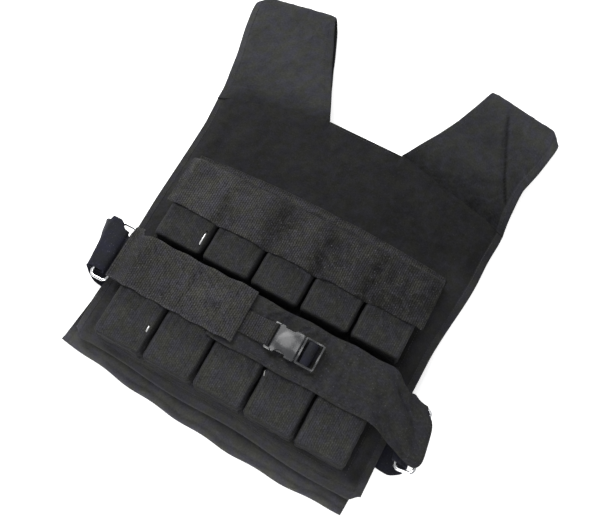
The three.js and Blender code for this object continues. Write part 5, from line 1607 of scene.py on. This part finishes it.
def buckle_webbing():
    wrap = round_bar(FEMALE_BAR)
    upper = WEBBING_Z + STRAP_WEBBING + GAP
    rise = BUCKLE_MID_Z - upper
    left = np.concatenate([
        [(WEBBING_START_X, WEBBING_Z), (BAR_X - 2 * wrap, WEBBING_Z)],
        arc(BAR_X, BUCKLE_MID_Z, wrap, start=-80, stop=130),
        [(BAR_X - 2.1 * wrap, upper + 0.7 * rise), (BAR_X - 4 * wrap, upper + 0.2 * rise),
         (BAR_X - 6.5 * wrap, upper), (BELT_LEFT["end_x"] + 3, upper)],
    ])
    band("buckle_webbing_left_cloth", "buckle_webbing_left", "coarse_webbing", WEBBING, left, STRAP_WEBBING,
         tie_borders, ribs, rows=20, round_path=1.6)
    right_low, right_high = (v - ORIGIN for v in box_mm("buckle_webbing_right"))
    bar_x = (right_low[0] + right_high[0]) / 2
    wide = round_bar(MALE_BAR)
    right = np.concatenate([
        [(bar_x + 1.5 * wide, WEBBING_Z), (bar_x + 1.05 * wide, WEBBING_Z)],
        arc(bar_x, BUCKLE_MID_Z, wide, start=-35, stop=215),
        [(bar_x - 1.05 * wide, WEBBING_Z), (bar_x - 1.5 * wide, WEBBING_Z)],
    ])
    band("buckle_webbing_right_cloth", "buckle_webbing_right", "dark_webbing", DARK_WEBBING, right,
         STRAP_WEBBING, tie_borders, ribs, rows=20, round_path=1.6)


buckle_webbing()

# %% [markdown]
# ## Seams
# A machine seam is a row of short thread bumps. A dashed line painted on the cloth would do from afar, but
# thread stands up and catches the light, so each stitch is a small capsule. Rows are drawn flat, as on a
# pattern, and each stitch is dropped onto the cloth below it.
# %% Thread
DROP_FROM_Z = 95.0
STITCH_RING = 6
STITCH_PROFILE = [(-0.5, 0.35), (-0.36, 0.9), (0, 1.0), (0.36, 0.9), (0.5, 0.35)]


def thread_finish(name, colour):
    material = bpy.data.materials.new(name)
    material.use_nodes = True
    shader = material.node_tree.nodes["Principled BSDF"]
    shader.inputs["Base Color"].default_value = (*colour, 1)
    shader.inputs["Roughness"].default_value = 0.6
    return material


def capsule(centre, along, up, length, radius):
    side = np.cross(along, up)
    points = []
    for place, share in STITCH_PROFILE:
        for k in range(STITCH_RING):
            turn = 2 * math.pi * k / STITCH_RING
            points.append(centre + along * place * length
                          + radius * share * (side * math.cos(turn) + up * math.sin(turn)))
    faces = [[r * STITCH_RING + k, r * STITCH_RING + (k + 1) % STITCH_RING,
              (r + 1) * STITCH_RING + (k + 1) % STITCH_RING, (r + 1) * STITCH_RING + k]
             for r in range(len(STITCH_PROFILE) - 1) for k in range(STITCH_RING)]
    last = (len(STITCH_PROFILE) - 1) * STITCH_RING
    faces.append(list(range(STITCH_RING))[::-1])
    faces.append([last + k for k in range(STITCH_RING)])
    return points, faces


def surface_of(names):
    bpy.context.view_layer.update()
    graph = bpy.context.evaluated_depsgraph_get()
    return [BVHTree.FromObject(bpy.data.objects[n], graph) for n in names]


def highest(trees, x, y):
    """The cloth under a spot of the pattern: its place and the way it faces."""
    start = Vector((np.array([x, y, DROP_FROM_Z]) + ORIGIN) * MM)
    best = None
    for tree in trees:
        spot, normal, _, _ = tree.ray_cast(start, Vector((0, 0, -1)))
        if spot is not None and (best is None or spot.z > best[0].z):
            best = (spot, normal)
    if best is None:
        return None
    spot, normal = best
    return np.array(spot) / MM - ORIGIN, np.array(normal if normal.z > 0 else -normal)


def sew(name, slot, material, rows, targets, pitch=3.4, length=2.4, radius=0.3):
    """One object of all the stitches of these rows."""
    trees = surface_of(targets)
    points, faces = [], []
    for row in rows:
        line = np.array(row, float)
        run = arc_length(line)
        for place in np.arange(pitch / 2, run[-1], pitch):
            x, y = (float(np.interp(place, run, line[:, k])) for k in range(2))
            ahead = [float(np.interp(place + 0.5, run, line[:, k])) for k in range(2)]
            behind = [float(np.interp(place - 0.5, run, line[:, k])) for k in range(2)]
            found = highest(trees, x, y)
            if found is None:
                continue
            centre, up = found
            along = np.array([ahead[0] - behind[0], ahead[1] - behind[1], 0.0])
            along = along - up * float(along @ up)
            along /= np.linalg.norm(along)
            more, more_faces = capsule(centre + up * 0.12, along, up, length, radius)
            faces += [[i + len(points) for i in face] for face in more_faces]
            points += more
    piece = add_mesh(name, np.array(points), faces, material)
    finish_piece(piece, slot)
    print(name, "stitches:", len(points) // (STITCH_RING * len(STITCH_PROFILE)))


THREAD = thread_finish("black_thread", (0.016, 0.016, 0.018))
PALE_THREAD = thread_finish("pale_thread", (0.32, 0.32, 0.31))
print("thread finishes:", THREAD.name, PALE_THREAD.name)


# %% Seam rows of the flap, the panel and the straps
BINDING_SEAM = 8.2
NECK_SEAM = 4.5
STRAP_NECK_SEAM = 7
BESIDE_BLOCKS = 3.5
SEAM_STEP = 8.0


def row_at(y_of_x, x0, x1, step=6.0):
    return [(x, float(y_of_x(x))) for x in np.arange(x0, x1 + step / 2, step)]


def flap_edge(inset):
    return lambda x: FLAP_TOP_Y + flap_bow(x) - inset


def upward_row(x_of_y, y0, y1):
    return [(float(x_of_y(y)), y) for y in np.arange(y0, y1, SEAM_STEP)]


def binding_row(sign, y0, y1):
    """The seam of the binding tape along one side of the body."""
    return upward_row(lambda y: pulled_out(sign * (side_x(y) - BINDING_SEAM), y), y0, y1)


sew("flap_stitches", "coarse_webbing", THREAD,
    [row_at(flap_edge(inset), -163, 163) for inset in FLAP_SEAMS], ["flap_webbing"])
panel_rows = []
strap_rows = []
for sign in (-1, 1):
    panel_rows.append(binding_row(sign, -188, 146))
    panel_rows.append(upward_row(lambda y: sign * (ROW_END_X + BESIDE_BLOCKS), -182, 60))
    strap_rows.append(binding_row(sign, 166, 300))
    strap_rows.append(upward_row(lambda y: sign * (neck_x(y) + STRAP_NECK_SEAM), 202, 312))
panel_rows += [
    row_at(lambda x: POUCH_SEAM_Y, -152, 152),
    row_at(lambda x: float(front_hem_y(x / HALF_WIDTH)) + HEM_SEAM, -172, 168),
    row_at(lambda x: NECKLINE_Y - NECK_SEAM, -46, 46),
]
sew("panel_stitches", "body_canvas", THREAD, panel_rows, ["front_panel_cloth"])
sew("strap_stitches", "strap_canvas", THREAD, strap_rows, ["strap_left_cloth", "strap_right_cloth"])

# %% Seam rows of the belt, and a loose thread end
LEFT_SEAM = 4
RIGHT_SEAM = 4.5
box_x, box_y = TACKED["x"], TACKED["y"]
reach_x, reach_y = TACKED["half_x"], TACKED["half_y"]
corners = [(box_x - reach_x, box_y - reach_y), (box_x + reach_x, box_y - reach_y),
           (box_x + reach_x, box_y + reach_y), (box_x - reach_x, box_y + reach_y)]
belt_rows = [
    corners + corners[:1], [corners[0], corners[2]], [corners[1], corners[3]],
    row_at(lambda x: BELT_LEFT["top"] - LEFT_SEAM, -148, -18),
    row_at(lambda x: BELT_LEFT["bottom"] + LEFT_SEAM, -148, -18),
    [(-16.5, -57), (-16.5, -114)],
    row_at(lambda x: BELT_RIGHT["top"] - RIGHT_SEAM, -8, 148),
    row_at(lambda x: BELT_RIGHT["bottom"] + RIGHT_SEAM, -8, 148),
]
sew("belt_stitches", "coarse_webbing", THREAD, belt_rows,
    ["belt_left_webbing", "belt_right_cloth"])
sew("thread_tab", "coarse_webbing", PALE_THREAD, [[(33.6, -124.6), (36.2, -132)]],
    ["lower_pocket_3_cloth", "lower_pocket_4_cloth", "belt_right_cloth"], pitch=1.5, length=2.0, radius=0.6)

# %% [markdown]
# ## Bare steel at two tears
# The first pouch of each row is worn through along its ingot's edge, and bright steel shows there. The ingot
# presses up through the tear, so a rounded rib of steel stands in it, in the place of a deeper hole.
# %% Steel ribs in the tears
RIB_DEPTH = 1.2
RIB_RADIUS = 1.5


def steel_rib(name, centre_x, edge_y, slit):
    top = BLOCK_TOP_Z - DOME_ROOM - RIB_DEPTH
    centre = np.array([centre_x + slit["x"], edge_y + slit["up"], top - 0.5])
    along, up = np.array([0, 1.0, 0]), np.array([0, 0, 1.0])
    points, faces = capsule(centre, along, up, slit["length"] - 1, RIB_RADIUS)
    finish_piece(add_mesh(name, np.array(points), faces, STEEL), "weight_steel")
    print(name, "is", slit["length"] - 1, "mm long")


for row_name, row_y in ROWS.items():
    steel_rib(f"{row_name}_steel_rib", -(POCKETS - 1) / 2 * PITCH, row_y, SLITS[row_name])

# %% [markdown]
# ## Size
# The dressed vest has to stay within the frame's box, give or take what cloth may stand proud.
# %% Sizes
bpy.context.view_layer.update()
